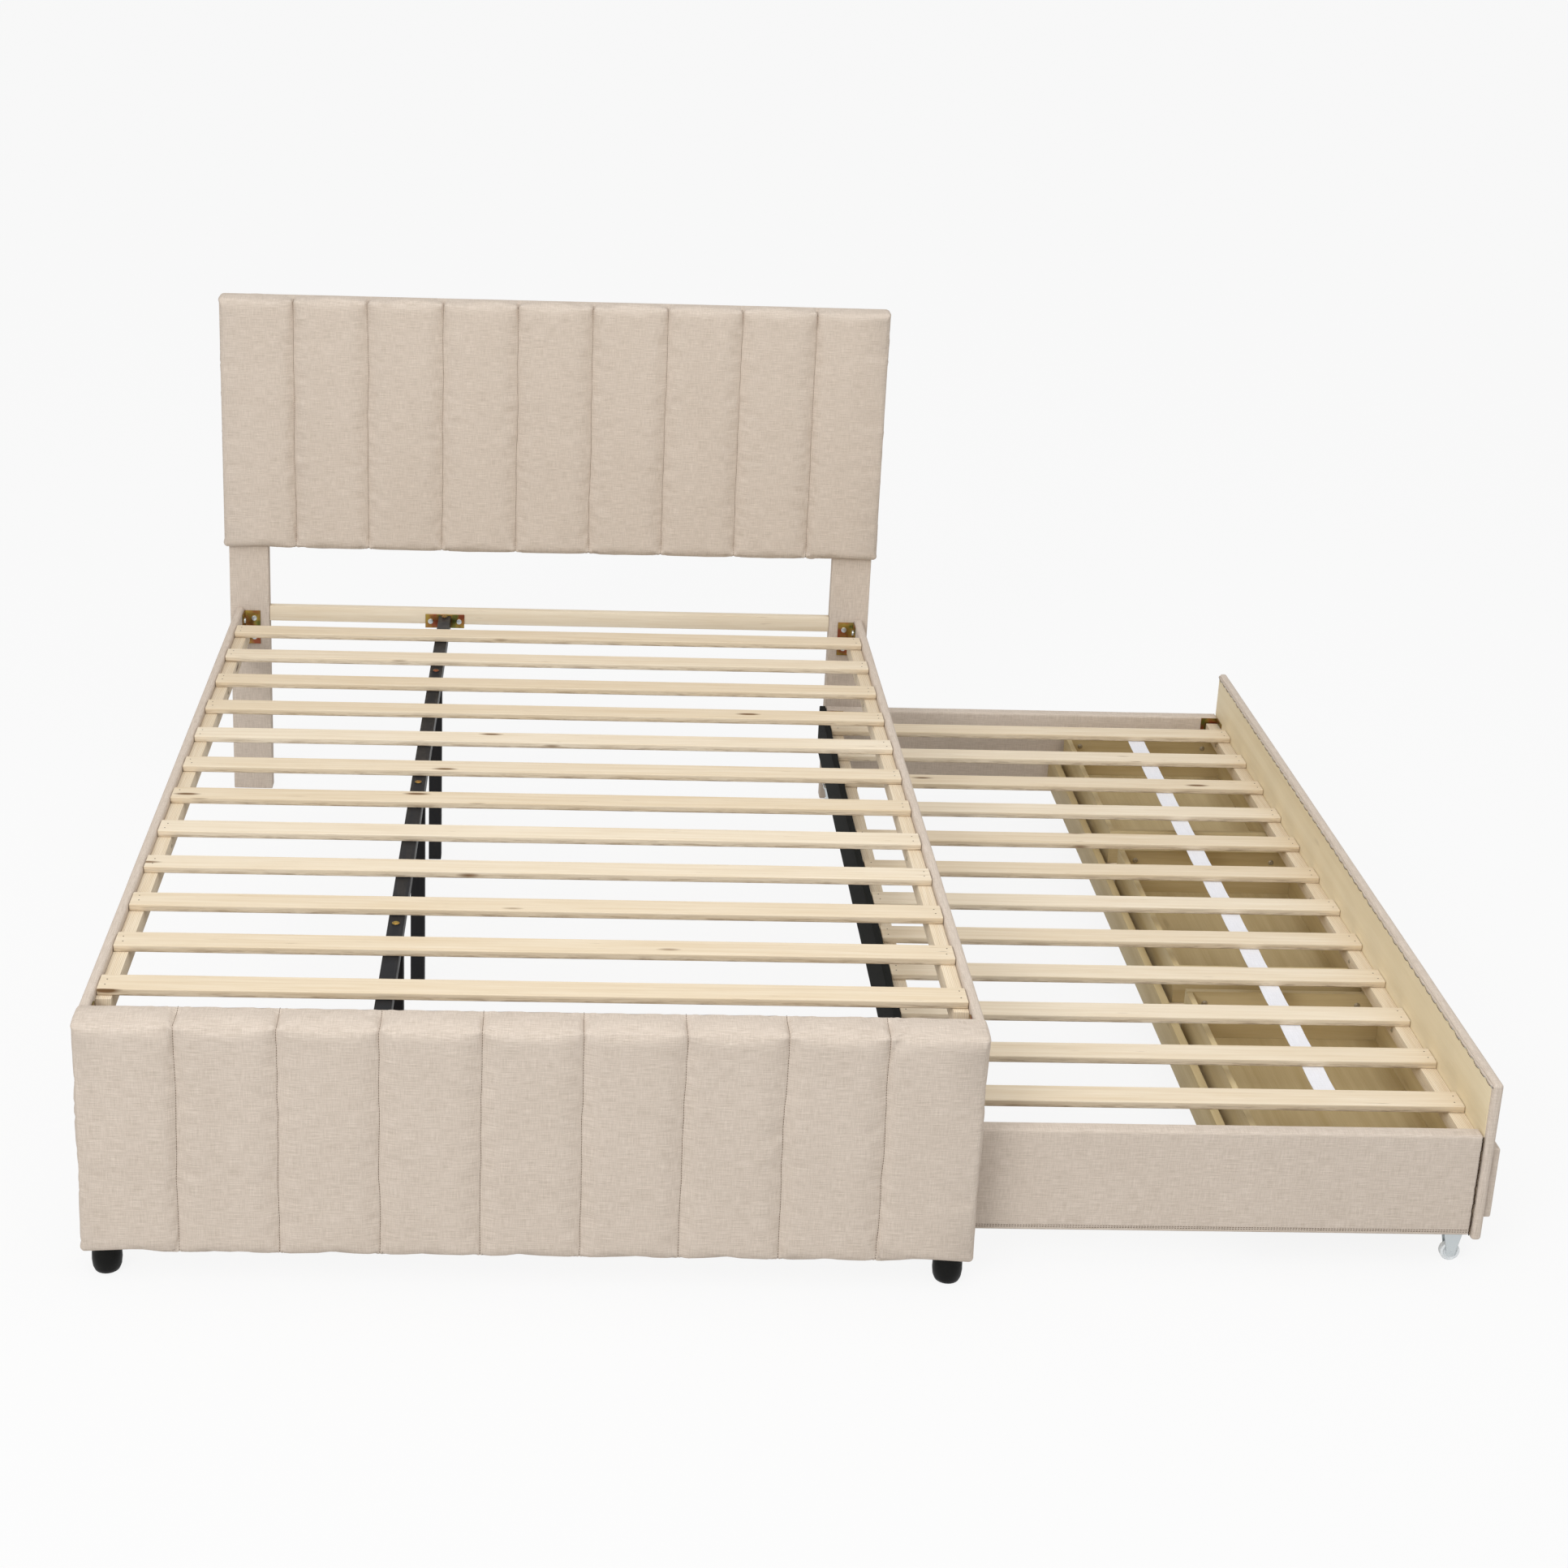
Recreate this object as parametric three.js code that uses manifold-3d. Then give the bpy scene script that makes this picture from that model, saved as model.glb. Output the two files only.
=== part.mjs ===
// Upholstered queen bed with a pull-out twin trundle that carries three drawers.
// Millimetres, +Z up, +X towards the side the trundle pulls out of, +Y towards the headboard.
// The parts are laid out from the floor under the middle of the footboard's front face, and the
// whole group is moved at the end so that its origin is the middle of its footprint.
import * as THREE from "three";
import { mergeVertices } from "three/addons/utils/BufferGeometryUtils.js";
import Module from "manifold-3d";

const wasm = await Module();
wasm.setup();

// ---- Driving dimensions -------------------------------------------------------------------

const gap = 0.3; // between pieces that touch
const weld = 1; // how far the bodies of one joined piece run into each other

// Main bed
const mattressWidth = 1524;
const mattressLength = 2032;
const mattressSideRoom = 8;
const mattressEndRoom = 2;

const footboardDepth = 75;
const footboardBottom = 54;
const footboardHeight = 452;
const footboardRound = 16;
const channelCount = 9;
const channelSwell = 5;

const headboardOverhang = 28;
const headboardBottom = 660;
const headboardHeight = 635;
const headboardDepth = 62;
const headboardRound = 12;

const postWidth = 98;
const postDepth = 36;
const postBackSetIn = 3;
const postOverhang = 15;
const tongueWidth = 70;
const tongueDepth = 24;
const tongueHeight = 260;

const crossrailHeight = 38;
const crossrailDepth = 22;
const crossrailSetBack = 4;

const railTop = 498;
const railHeight = 113;
const railThickness = 20;
const railRound = 8;

const slatCount = 12;
const slatWidth = 54;
const slatThickness = 14;
const slatChamfer = 4;
const slatEndPlay = 0.6;
const firstSlatRoom = 93;
const lastSlatRoom = 163;

const ledgerWidth = 28;
const ledgerHeight = 36;
const ledgerFootRoom = 56;
const ledgerHeadRoom = 120;

const beamSection = 30;
const beamOffset = -266;
const legSlats = [2, 6, 10]; // a leg stands in the open bay before each of these slats
const legBeforeSlat = 62;
const beamBoltRadius = 8;
const beamBoltHeight = 2.5;

const beamPlateWidth = 98;
const beamPlateHeight = 36;
const beamSeatLength = 34;
const plateThickness = 3;
const boltRadius = 6.5;
const boltHeight = 4;

const bracketLeg = 40;
const bracketHeight = 88;
const bracketBelowTop = 10;
const bracketBoltFromEnd = 19;
const bracketBoltFromCorner = 25;

const footRadius = 27;
const footInset = 42;

// Trundle
const trundleInnerWidth = 1001;
const trundleFootGap = 8;
const trundleHeadGap = 29;
const trundlePullOut = 937;
const trundleBottom = 67;
const trundleBoardDepth = 30;
const trundleBoardRound = 8;

const underRailGap = 4;
const fasciaBottom = 60;
const fasciaThickness = 20;
const fasciaOverhang = 5;

const innerBoardHeight = 121;
const innerBoardThickness = 16;

const trundleLedgerWidth = 30;
const trundleLedgerHeight = 30;
const trundleLedgerEndRoom = 6;

const trundleFirstSlatRoom = 98;
const trundleLastSlatRoom = 109;
const strapWidth = 40;
const strapThickness = 1.5;
const strapSink = 0.4;
const strapFromFascia = 237;

// Drawers
const drawerCount = 3;
const frontThickness = 16;
const frontSpacing = 13;
const frontBelowBox = 11;
const frontAboveBox = 19;
const drawerDepth = 412;
const drawerHeight = 113;
const drawerBottom = 112;
const drawerTopRoom = 4.7;
const drawerWall = 12;
const drawerFloor = 9;
const cutoutPlay = 3;

const runnerFlange = 14;
const runnerThickness = 10;
const runnerWeb = 10;
const runnerWebHeight = 34;
const runnerPlay = 2;
const runnerBoardRoom = 4;

const drawerBeamThickness = 17;
const drawerBeamBottom = 85;
const drawerBeamHeight = 80;
const drawerBeamBehind = 15;

// Casters
const wheelRadius = 18;
const wheelWidth = 14;
const axleRadius = 3;
const forkThickness = 2.5;
const forkPlay = 1;
const casterPlateLength = 40;
const casterPlateThickness = 3;
const cheekTopHalf = 18;
const cheekFootHalf = 7;
const cheekBelowAxle = 6;
const axleProud = 1;
const hubWall = 3;
const hubStep = 1;
const wheelDish = 2;
const rimDepth = 6;
const rimRound = 1.5;
const casterInset = 22;
const casterFromEnd = 30;

// ---- Places worked out from them ----------------------------------------------------------

const clearHalf = mattressWidth / 2 + mattressSideRoom;
const bedHalf = clearHalf + railThickness;
const postOuter = bedHalf + postOverhang;
const headboardFront = footboardDepth + mattressLength + mattressEndRoom;
const headboardBack = headboardFront + headboardDepth;
const postBack = headboardBack - postBackSetIn;
const postFront = postBack - postDepth;
const clearLength = postFront - footboardDepth;

const slatUnderside = railTop - slatThickness;
const slatPitch = (clearLength - firstSlatRoom - lastSlatRoom) / (slatCount - 1);
const slatMiddle = (index) => footboardDepth + firstSlatRoom + slatPitch * index;
const beamTop = slatUnderside - gap;
const crossrailFront = postFront + crossrailSetBack;

const fasciaTop = railTop - railHeight - underRailGap;
const fasciaOuter = bedHalf + trundlePullOut;
const fasciaInner = fasciaOuter - fasciaThickness;
const innerBoardFace = fasciaInner - trundleInnerWidth;
const innerBoardOuter = innerBoardFace - innerBoardThickness;
const fasciaStart = footboardDepth + trundleFootGap;
const trundleStart = fasciaStart + fasciaOverhang;
const fasciaEnd = postFront - trundleHeadGap;
const trundleEnd = fasciaEnd - fasciaOverhang;
const wellStart = trundleStart + trundleBoardDepth;
const wellEnd = trundleEnd - trundleBoardDepth;
const trundleLedgerBottom = drawerBottom + drawerHeight + drawerTopRoom;
const trundleSlatUnderside = trundleLedgerBottom + trundleLedgerHeight + gap;
const trundleTop = trundleSlatUnderside + slatThickness;
const trundlePitch =
  (wellEnd - wellStart - trundleFirstSlatRoom - trundleLastSlatRoom) / (slatCount - 1);
const trundleSlatMiddle = (index) => wellStart + trundleFirstSlatRoom + trundlePitch * index;

const frontWidth =
  (fasciaEnd - fasciaStart - frontSpacing * (drawerCount + 1)) / drawerCount;
const frontStart = (index) => fasciaStart + frontSpacing + index * (frontWidth + frontSpacing);
const boxSetIn = wellStart + runnerBoardRoom + runnerWeb + runnerPlay - frontStart(0);
const boxStart = (index) => frontStart(index) + boxSetIn;
const boxEnd = (index) => frontStart(index) + frontWidth - boxSetIn;
const drawerBack = fasciaOuter - drawerDepth;
const drawerBeamFace = drawerBack - drawerBeamBehind;

// ---- Materials ----------------------------------------------------------------------------

const finish = (color, roughness, metalness = 0) =>
  new THREE.MeshStandardMaterial({ color, roughness, metalness });

const linen = finish(0xd2c4b4, 0.9);
const pine = finish(0xeddcc4, 0.65);
const plywood = finish(0xd9c9a0, 0.6);
const blackCloth = finish(0x2a2b2a, 0.95);
const blackSteel = finish(0x2b2b2d, 0.45, 0.4);
const yellowZinc = finish(0x94823a, 0.35, 0.9);
const brightZinc = finish(0xbec6c8, 0.3, 0.9);
const blackPlastic = finish(0x1c1c1a, 0.5);
const whiteNylon = finish(0xd7dcde, 0.4);

// ---- Shapes -------------------------------------------------------------------------------

const range = (a, b) => [Math.min(a, b), Math.max(a, b)];

// A box from its lowest and highest place on each axis.
function box([x0, x1], [y0, y1], [z0, z1]) {
  const shape = new THREE.BoxGeometry(x1 - x0, y1 - y0, z1 - z0);
  return shape.translate((x0 + x1) / 2, (y0 + y1) / 2, (z0 + z1) / 2);
}

// An outline in Y and Z, drawn along X from x0 to x1.
function alongX(outline, x0, x1, curveSegments = 4) {
  const shape = new THREE.ExtrudeGeometry(outline, {
    depth: x1 - x0, bevelEnabled: false, curveSegments,
  });
  const turn = new THREE.Matrix4().makeBasis(
    new THREE.Vector3(0, 1, 0), new THREE.Vector3(0, 0, 1), new THREE.Vector3(1, 0, 0));
  return shape.applyMatrix4(turn).translate(x0, 0, 0);
}

// An outline in Z and X, drawn along Y from y0 to y1.
function alongY(outline, y0, y1, curveSegments = 4) {
  const shape = new THREE.ExtrudeGeometry(outline, {
    depth: y1 - y0, bevelEnabled: false, curveSegments,
  });
  const turn = new THREE.Matrix4().makeBasis(
    new THREE.Vector3(0, 0, 1), new THREE.Vector3(1, 0, 0), new THREE.Vector3(0, 1, 0));
  return shape.applyMatrix4(turn).translate(0, y0, 0);
}

function polygon(points) {
  return new THREE.Shape(points.map(([u, v]) => new THREE.Vector2(u, v)));
}

// A cylinder along "x", "y" or "z", centred on a point.
function rod(axis, radius, length, [x, y, z], sides = 20) {
  const shape = new THREE.CylinderGeometry(radius, radius, length, sides);
  if (axis === "x") shape.rotateZ(Math.PI / 2);
  if (axis === "z") shape.rotateX(Math.PI / 2);
  return shape.translate(x, y, z);
}

// A closed geometry as a solid that can be joined and cut.
function solid(geometry) {
  const bare = geometry.clone();
  bare.deleteAttribute("normal");
  bare.deleteAttribute("uv");
  const merged = mergeVertices(bare, 1e-4);
  return new wasm.Manifold(new wasm.Mesh({
    numProp: 3,
    vertProperties: new Float32Array(merged.attributes.position.array),
    triVerts: new Uint32Array(merged.index.array),
  }));
}

function geometryOf(manifold) {
  const mesh = manifold.getMesh();
  const geometry = new THREE.BufferGeometry();
  geometry.setAttribute("position", new THREE.BufferAttribute(mesh.vertProperties, 3));
  geometry.setIndex(new THREE.BufferAttribute(mesh.triVerts, 1));
  geometry.computeVertexNormals();
  return geometry;
}

const joined = (first, ...others) =>
  geometryOf(others.reduce((whole, next) => whole.add(solid(next)), solid(first)));

const cut = (body, ...tools) =>
  geometryOf(tools.reduce((whole, next) => whole.subtract(solid(next)), solid(body)));

function add(group, name, material, geometry) {
  const mesh = new THREE.Mesh(geometry, material);
  mesh.name = name;
  group.add(mesh);
}

// ---- Padded boards ------------------------------------------------------------------------

// A board whose front is sewn into upright channels, each swelling out between two seams, with
// rounded top and bottom edges.
function channelBoard(halfWidth, front, depth, bottom, height, round) {
  const channel = (2 * halfWidth) / channelCount;
  const seam = front + channelSwell;
  const outline = new THREE.Shape();
  outline.moveTo(-halfWidth, seam);
  for (let i = 0; i < channelCount; i += 1) {
    const start = -halfWidth + i * channel;
    outline.quadraticCurveTo(
      start + channel / 2, front - channelSwell, start + channel, seam);
  }
  outline.lineTo(halfWidth, front + depth);
  outline.lineTo(-halfWidth, front + depth);
  outline.closePath();
  const board = new THREE.ExtrudeGeometry(outline, {
    depth: height - 2 * round, curveSegments: 4,
    bevelThickness: round, bevelSize: round, bevelOffset: -round, bevelSegments: 3,
  });
  return board.translate(0, 0, bottom + round);
}

// A covered board's section with its two top edges rounded. Its points give the height first
// and the place across second.
function roundTopSection([across0, across1], [bottom, top], round) {
  const outline = new THREE.Shape();
  outline.moveTo(bottom, across0);
  outline.lineTo(top - round, across0);
  outline.quadraticCurveTo(top, across0, top, across0 + round);
  outline.lineTo(top, across1 - round);
  outline.quadraticCurveTo(top, across1, top - round, across1);
  outline.lineTo(bottom, across1);
  outline.closePath();
  return outline;
}

// The same outline with its two directions exchanged, walked the other way round.
const swap = (outline) => new THREE.Shape(
  outline.getPoints(4).reverse().map(({ x, y }) => new THREE.Vector2(y, x)));

// ---- Headboard ----------------------------------------------------------------------------

function tonguePlaces(side) {
  const postMiddle = side * (postOuter - postWidth / 2);
  const middle = postFront + postDepth / 2;
  return [
    [postMiddle - tongueWidth / 2, postMiddle + tongueWidth / 2],
    [middle - tongueDepth / 2, middle + tongueDepth / 2],
  ];
}

function addHeadboard(group) {
  const panel = channelBoard(bedHalf + headboardOverhang, headboardFront, headboardDepth,
    headboardBottom, headboardHeight, headboardRound);
  const pockets = [-1, 1].map((side) => {
    const [across, deep] = tonguePlaces(side);
    return box(
      [across[0] - gap, across[1] + gap], [deep[0] - gap, deep[1] + gap],
      [headboardBottom - gap, headboardBottom + tongueHeight + gap]);
  });
  add(group, "headboard_panel", linen, cut(panel, ...pockets));

  for (const [label, side] of [["left", -1], ["right", 1]]) {
    const across = range(side * postOuter, side * (postOuter - postWidth));
    const [tongueAcross, tongueDeep] = tonguePlaces(side);
    const lower = box(across, [postFront, postBack], [0, headboardBottom - gap]);
    const tongue = box(tongueAcross, tongueDeep,
      [headboardBottom - gap - weld, headboardBottom + tongueHeight]);
    add(group, `headboard_post_${label}`, linen, joined(lower, tongue));
  }

  const postInner = postOuter - postWidth - gap;
  add(group, "headboard_crossrail", pine, box(
    [-postInner, postInner], [crossrailFront, crossrailFront + crossrailDepth],
    [railTop - crossrailHeight, railTop]));
}

// ---- Footboard and its feet ---------------------------------------------------------------

function addFootboard(group) {
  add(group, "footboard", linen, channelBoard(
    bedHalf, 0, footboardDepth, footboardBottom, footboardHeight, footboardRound));

  const top = footboardBottom - gap;
  const profile = [
    [0, 0], [0.62, 0], [0.84, 0.06], [0.95, 0.2], [1, 0.42], [0.98, 0.7], [0.9, 0.78],
    [0.9, 1], [0, 1],
  ].map(([out, up]) => new THREE.Vector2(out * footRadius, up * top));
  for (const [label, side] of [["left", -1], ["right", 1]]) {
    const foot = new THREE.LatheGeometry(profile, 28).rotateX(Math.PI / 2);
    foot.translate(side * (bedHalf - footInset), footboardDepth / 2, 0);
    add(group, `foot_${label}`, blackPlastic, foot);
  }
}

// ---- Side rails, ledgers and corner brackets ----------------------------------------------

function cornerBracket(side, end) {
  const face = side * (clearHalf - gap);
  const towards = -side;
  const stop = end === "head" ? postFront - gap : footboardDepth + gap;
  const away = end === "head" ? -1 : 1;
  const heights = [railTop - bracketBelowTop - bracketHeight, railTop - bracketBelowTop];
  const onRail = box(
    range(face, face + towards * plateThickness), range(stop, stop + away * bracketLeg), heights);
  const onEnd = box(
    range(face, face + towards * bracketLeg), range(stop, stop + away * plateThickness), heights);
  const seat = plateThickness + boltHeight / 2 - gap;
  const bolts = [heights[0] + bracketBoltFromEnd, heights[1] - bracketBoltFromEnd].flatMap(
    (height) => [
      rod("x", boltRadius, boltHeight,
        [face + towards * seat, stop + away * bracketBoltFromCorner, height]),
      rod("y", boltRadius, boltHeight,
        [face + towards * bracketBoltFromCorner, stop + away * seat, height]),
    ]);
  return joined(onRail, onEnd, ...bolts);
}

function addSides(group) {
  for (const [label, side] of [["left", -1], ["right", 1]]) {
    const across = range(side * clearHalf, side * bedHalf);
    const section = roundTopSection(across, [railTop - railHeight, railTop], railRound);
    add(group, `side_rail_${label}`, linen,
      alongY(section, footboardDepth + gap, postFront - gap));

    const inner = side * (clearHalf - gap);
    const ledgerAcross = range(inner, inner - side * ledgerWidth);
    const ledgerTop = slatUnderside - gap;
    add(group, `slat_ledger_${label}`, pine, box(ledgerAcross,
      [footboardDepth + ledgerFootRoom, postFront - ledgerHeadRoom],
      [ledgerTop - ledgerHeight, ledgerTop]));

    for (const end of ["head", "foot"]) {
      add(group, `corner_bracket_${end}_${label}`, yellowZinc, cornerBracket(side, end));
    }
  }
}

// ---- Slats --------------------------------------------------------------------------------

function slat(x0, x1, middle, underside) {
  const half = slatWidth / 2;
  const top = underside + slatThickness;
  const outline = polygon([
    [middle - half, underside], [middle + half, underside],
    [middle + half, top - slatChamfer], [middle + half - slatChamfer, top],
    [middle - half + slatChamfer, top], [middle - half, top - slatChamfer],
  ]);
  return alongX(outline, x0, x1);
}

function addSlats(group) {
  for (let i = 0; i < slatCount; i += 1) {
    const name = `slat_${String(i + 1).padStart(2, "0")}`;
    add(group, name, pine, slat(
      -clearHalf + slatEndPlay, clearHalf - slatEndPlay, slatMiddle(i), slatUnderside));
  }
}

// ---- Centre beam, its brackets and its legs -----------------------------------------------

function beamBracket(seatEnd, away) {
  const seatTop = beamTop - beamSection - gap;
  const plateBottom = seatTop - plateThickness;
  const plate = box(
    [beamOffset - beamPlateWidth / 2, beamOffset + beamPlateWidth / 2],
    range(seatEnd, seatEnd + away * plateThickness), [plateBottom, plateBottom + beamPlateHeight]);
  const seat = box(
    [beamOffset - beamSection / 2, beamOffset + beamSection / 2],
    range(seatEnd, seatEnd + away * beamSeatLength), [plateBottom, seatTop]);
  const bolts = [-1, 1].map((side) => rod("y", boltRadius, boltHeight, [
    beamOffset + side * (beamPlateWidth / 2 - 2 * boltRadius),
    seatEnd + away * (plateThickness + boltHeight / 2 - gap),
    plateBottom + beamPlateHeight / 2,
  ]));
  return joined(plate, seat, ...bolts);
}

function addCentreBeam(group) {
  const across = [beamOffset - beamSection / 2, beamOffset + beamSection / 2];
  const heights = [beamTop - beamSection, beamTop];
  const headSeat = crossrailFront - gap;
  const footSeat = footboardDepth + gap;
  add(group, "beam_bracket_head", yellowZinc, beamBracket(headSeat, -1));
  add(group, "beam_bracket_foot", yellowZinc, beamBracket(footSeat, 1));

  const legMiddles = legSlats.map((index) => slatMiddle(index) - legBeforeSlat);
  const beam = box(across,
    [footSeat + plateThickness + gap, headSeat - plateThickness - gap], heights);
  const bolts = legMiddles.map((middle) => rod("z", beamBoltRadius, 2 * beamBoltHeight,
    [beamOffset, middle, beamTop]));
  add(group, "centre_beam", blackSteel, joined(beam, ...bolts));

  legMiddles.forEach((middle, index) => {
    add(group, `centre_leg_${index + 1}`, blackSteel, box(across,
      [middle - beamSection / 2, middle + beamSection / 2], [0, heights[0] - gap]));
  });
}

// ---- Trundle frame ------------------------------------------------------------------------

function addTrundleFrame(group) {
  const boardAcross = [innerBoardFace + gap, fasciaInner - gap];
  const boardEnds = [["foot", [trundleStart, wellStart]], ["head", [wellEnd, trundleEnd]]];
  for (const [label, deep] of boardEnds) {
    const section = roundTopSection(deep, [trundleBottom, trundleTop], trundleBoardRound);
    add(group, `trundle_${label}_board`, linen, alongX(swap(section), ...boardAcross));
  }

  const panel = box(
    [fasciaInner, fasciaOuter], [fasciaStart, fasciaEnd], [fasciaBottom, fasciaTop]);
  const cutouts = Array.from({ length: drawerCount }, (_, i) => box(
    [fasciaInner - 1, fasciaOuter + 1], [boxStart(i) - cutoutPlay, boxEnd(i) + cutoutPlay],
    [drawerBottom - cutoutPlay, drawerBottom + drawerHeight + cutoutPlay]));
  add(group, "trundle_fascia", linen, cut(panel, ...cutouts));

  add(group, "trundle_inner_board", blackCloth, box([innerBoardOuter, innerBoardFace],
    [trundleStart, trundleEnd], [trundleTop - innerBoardHeight, trundleTop]));

  const ledgerAlong = [wellStart + trundleLedgerEndRoom, wellEnd - trundleLedgerEndRoom];
  const ledgerHeights = [trundleLedgerBottom, trundleLedgerBottom + trundleLedgerHeight];
  add(group, "trundle_ledger_left", pine, box(
    [innerBoardFace + gap, innerBoardFace + gap + trundleLedgerWidth],
    ledgerAlong, ledgerHeights));
  add(group, "trundle_ledger_right", pine, box(
    [fasciaInner - gap - trundleLedgerWidth, fasciaInner - gap], ledgerAlong, ledgerHeights));
}

// The trundle's slats are tied at their pitch by a webbing strap stapled to their undersides.
function addTrundleSlats(group) {
  const slats = Array.from({ length: slatCount }, (_, i) => slat(
    innerBoardFace + slatEndPlay, fasciaInner - slatEndPlay, trundleSlatMiddle(i),
    trundleSlatUnderside));
  const strapMiddle = fasciaInner - strapFromFascia;
  const strapTop = trundleSlatUnderside + strapSink;
  const strap = box([strapMiddle - strapWidth / 2, strapMiddle + strapWidth / 2],
    [trundleSlatMiddle(0), trundleSlatMiddle(slatCount - 1)],
    [strapTop - strapThickness, strapTop]);
  add(group, "trundle_slat_deck", pine, joined(strap, ...slats));
}

// ---- Drawers, the beam behind them and the runners under them -----------------------------

// A runner's section: a flange under each drawer that slides on it, and a web beside the
// drawer to guide it.
function runnerSection(low, high) {
  const top = drawerBottom - gap;
  const bottom = top - runnerThickness;
  const lip = top + runnerWebHeight;
  const [foot, head] = [low !== null, high !== null];
  const start = foot ? low : high - runnerWeb;
  const stop = head ? high : low + runnerWeb;
  const points = [[foot ? start - runnerFlange : start, bottom]];
  points.push([head ? stop + runnerFlange : stop, bottom]);
  if (head) points.push([stop + runnerFlange, top], [stop, top]);
  points.push([stop, lip]);
  if (foot && head) {
    points.push([stop - runnerWeb, lip], [stop - runnerWeb, top]);
    points.push([start + runnerWeb, top], [start + runnerWeb, lip]);
  }
  points.push([start, lip]);
  if (foot) points.push([start, top], [start - runnerFlange, top]);
  return polygon(points);
}

function addDrawerSupports(group) {
  add(group, "drawer_beam", plywood, box([drawerBeamFace - drawerBeamThickness, drawerBeamFace],
    [wellStart + gap, wellEnd - gap], [drawerBeamBottom, drawerBeamBottom + drawerBeamHeight]));
  for (let i = 0; i <= drawerCount; i += 1) {
    const low = i > 0 ? boxEnd(i - 1) + runnerPlay : null;
    const high = i < drawerCount ? boxStart(i) - runnerPlay : null;
    add(group, `drawer_runner_${i + 1}`, pine,
      alongX(runnerSection(low, high), drawerBeamFace + gap, fasciaInner - gap));
  }
}

function addDrawer(group, index) {
  const along = [boxStart(index), boxEnd(index)];
  const heights = [drawerBottom, drawerBottom + drawerHeight];
  const body = box([drawerBack, fasciaOuter], along, heights);
  const hollow = box(
    [drawerBack + drawerWall, fasciaOuter - drawerWall],
    [along[0] + drawerWall, along[1] - drawerWall],
    [drawerBottom + drawerFloor, heights[1] + 1]);
  add(group, `drawer_${index + 1}_box`, plywood, cut(body, hollow));
  add(group, `drawer_${index + 1}_front`, linen, box(
    [fasciaOuter + gap, fasciaOuter + gap + frontThickness],
    [frontStart(index), frontStart(index) + frontWidth],
    [drawerBottom - frontBelowBox, heights[1] + frontAboveBox]));
}

// ---- Casters ------------------------------------------------------------------------------

function casterBracket([x, y]) {
  const top = trundleBottom - gap;
  const plateHalf = casterPlateLength / 2;
  const cheek = wheelWidth / 2 + forkPlay;
  const plate = box([x - plateHalf, x + plateHalf],
    [y - plateHalf, y + plateHalf], [top - casterPlateThickness, top]);
  const cheekOutline = polygon([
    [top - weld, x + cheekTopHalf], [wheelRadius - cheekBelowAxle, x + cheekFootHalf],
    [wheelRadius - cheekBelowAxle, x - cheekFootHalf], [top - weld, x - cheekTopHalf],
  ]);
  const cheeks = [y - cheek - forkThickness, y + cheek].map(
    (start) => alongY(cheekOutline, start, start + forkThickness));
  const axle = rod("y", axleRadius, 2 * (cheek + forkThickness + axleProud),
    [x, y, wheelRadius]);
  return joined(plate, ...cheeks, axle);
}

function casterWheel([x, y]) {
  const half = wheelWidth / 2;
  const bore = axleRadius + gap;
  const hub = bore + hubWall;
  const rim = wheelRadius - rimDepth;
  const face = [
    [bore, half], [hub, half], [hub + hubStep, half - wheelDish], [rim, half - wheelDish],
    [rim + rimRound, half], [wheelRadius - rimRound, half], [wheelRadius, half - rimRound],
  ];
  const otherFace = face.map(([out, along]) => [out, -along]);
  const profile = [...otherFace, ...face.reverse(), otherFace[0]]
    .map(([out, along]) => new THREE.Vector2(out, along));
  return new THREE.LatheGeometry(profile, 32).translate(x, y, wheelRadius);
}

function addCasters(group) {
  const xs = { left: innerBoardFace + casterInset, right: fasciaInner - casterInset };
  const ys = { foot: trundleStart + casterFromEnd, head: trundleEnd - casterFromEnd };
  for (const [end, y] of Object.entries(ys)) {
    for (const [side, x] of Object.entries(xs)) {
      add(group, `caster_bracket_${end}_${side}`, brightZinc, casterBracket([x, y]));
      add(group, `caster_wheel_${end}_${side}`, whiteNylon, casterWheel([x, y]));
    }
  }
}

// ---- The whole bed ------------------------------------------------------------------------

const bedFrame = new THREE.Group();
addHeadboard(bedFrame);
addFootboard(bedFrame);
addSides(bedFrame);
addSlats(bedFrame);
addCentreBeam(bedFrame);

const trundle = new THREE.Group();
addTrundleFrame(trundle);
addTrundleSlats(trundle);
addDrawerSupports(trundle);
for (let index = 0; index < drawerCount; index += 1) addDrawer(trundle, index);
addCasters(trundle);

const leftmost = -bedHalf - headboardOverhang;
const rightmost = fasciaOuter + gap + frontThickness;
const bed = new THREE.Group();
bed.add(bedFrame, trundle);
bed.position.set(-(leftmost + rightmost) / 2, -headboardBack / 2, 0);

export default bed;
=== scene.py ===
"""An upholstered bed with channelled boards, a slatted deck and a trundle with three drawers.

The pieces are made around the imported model, in metres and in its frame: +Z is up, +Y is towards
the headboard and +X is the side that the trundle rolls out of.
"""

import math

import bmesh
import bpy
import numpy as np
from mathutils import Euler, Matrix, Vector, noise


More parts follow.
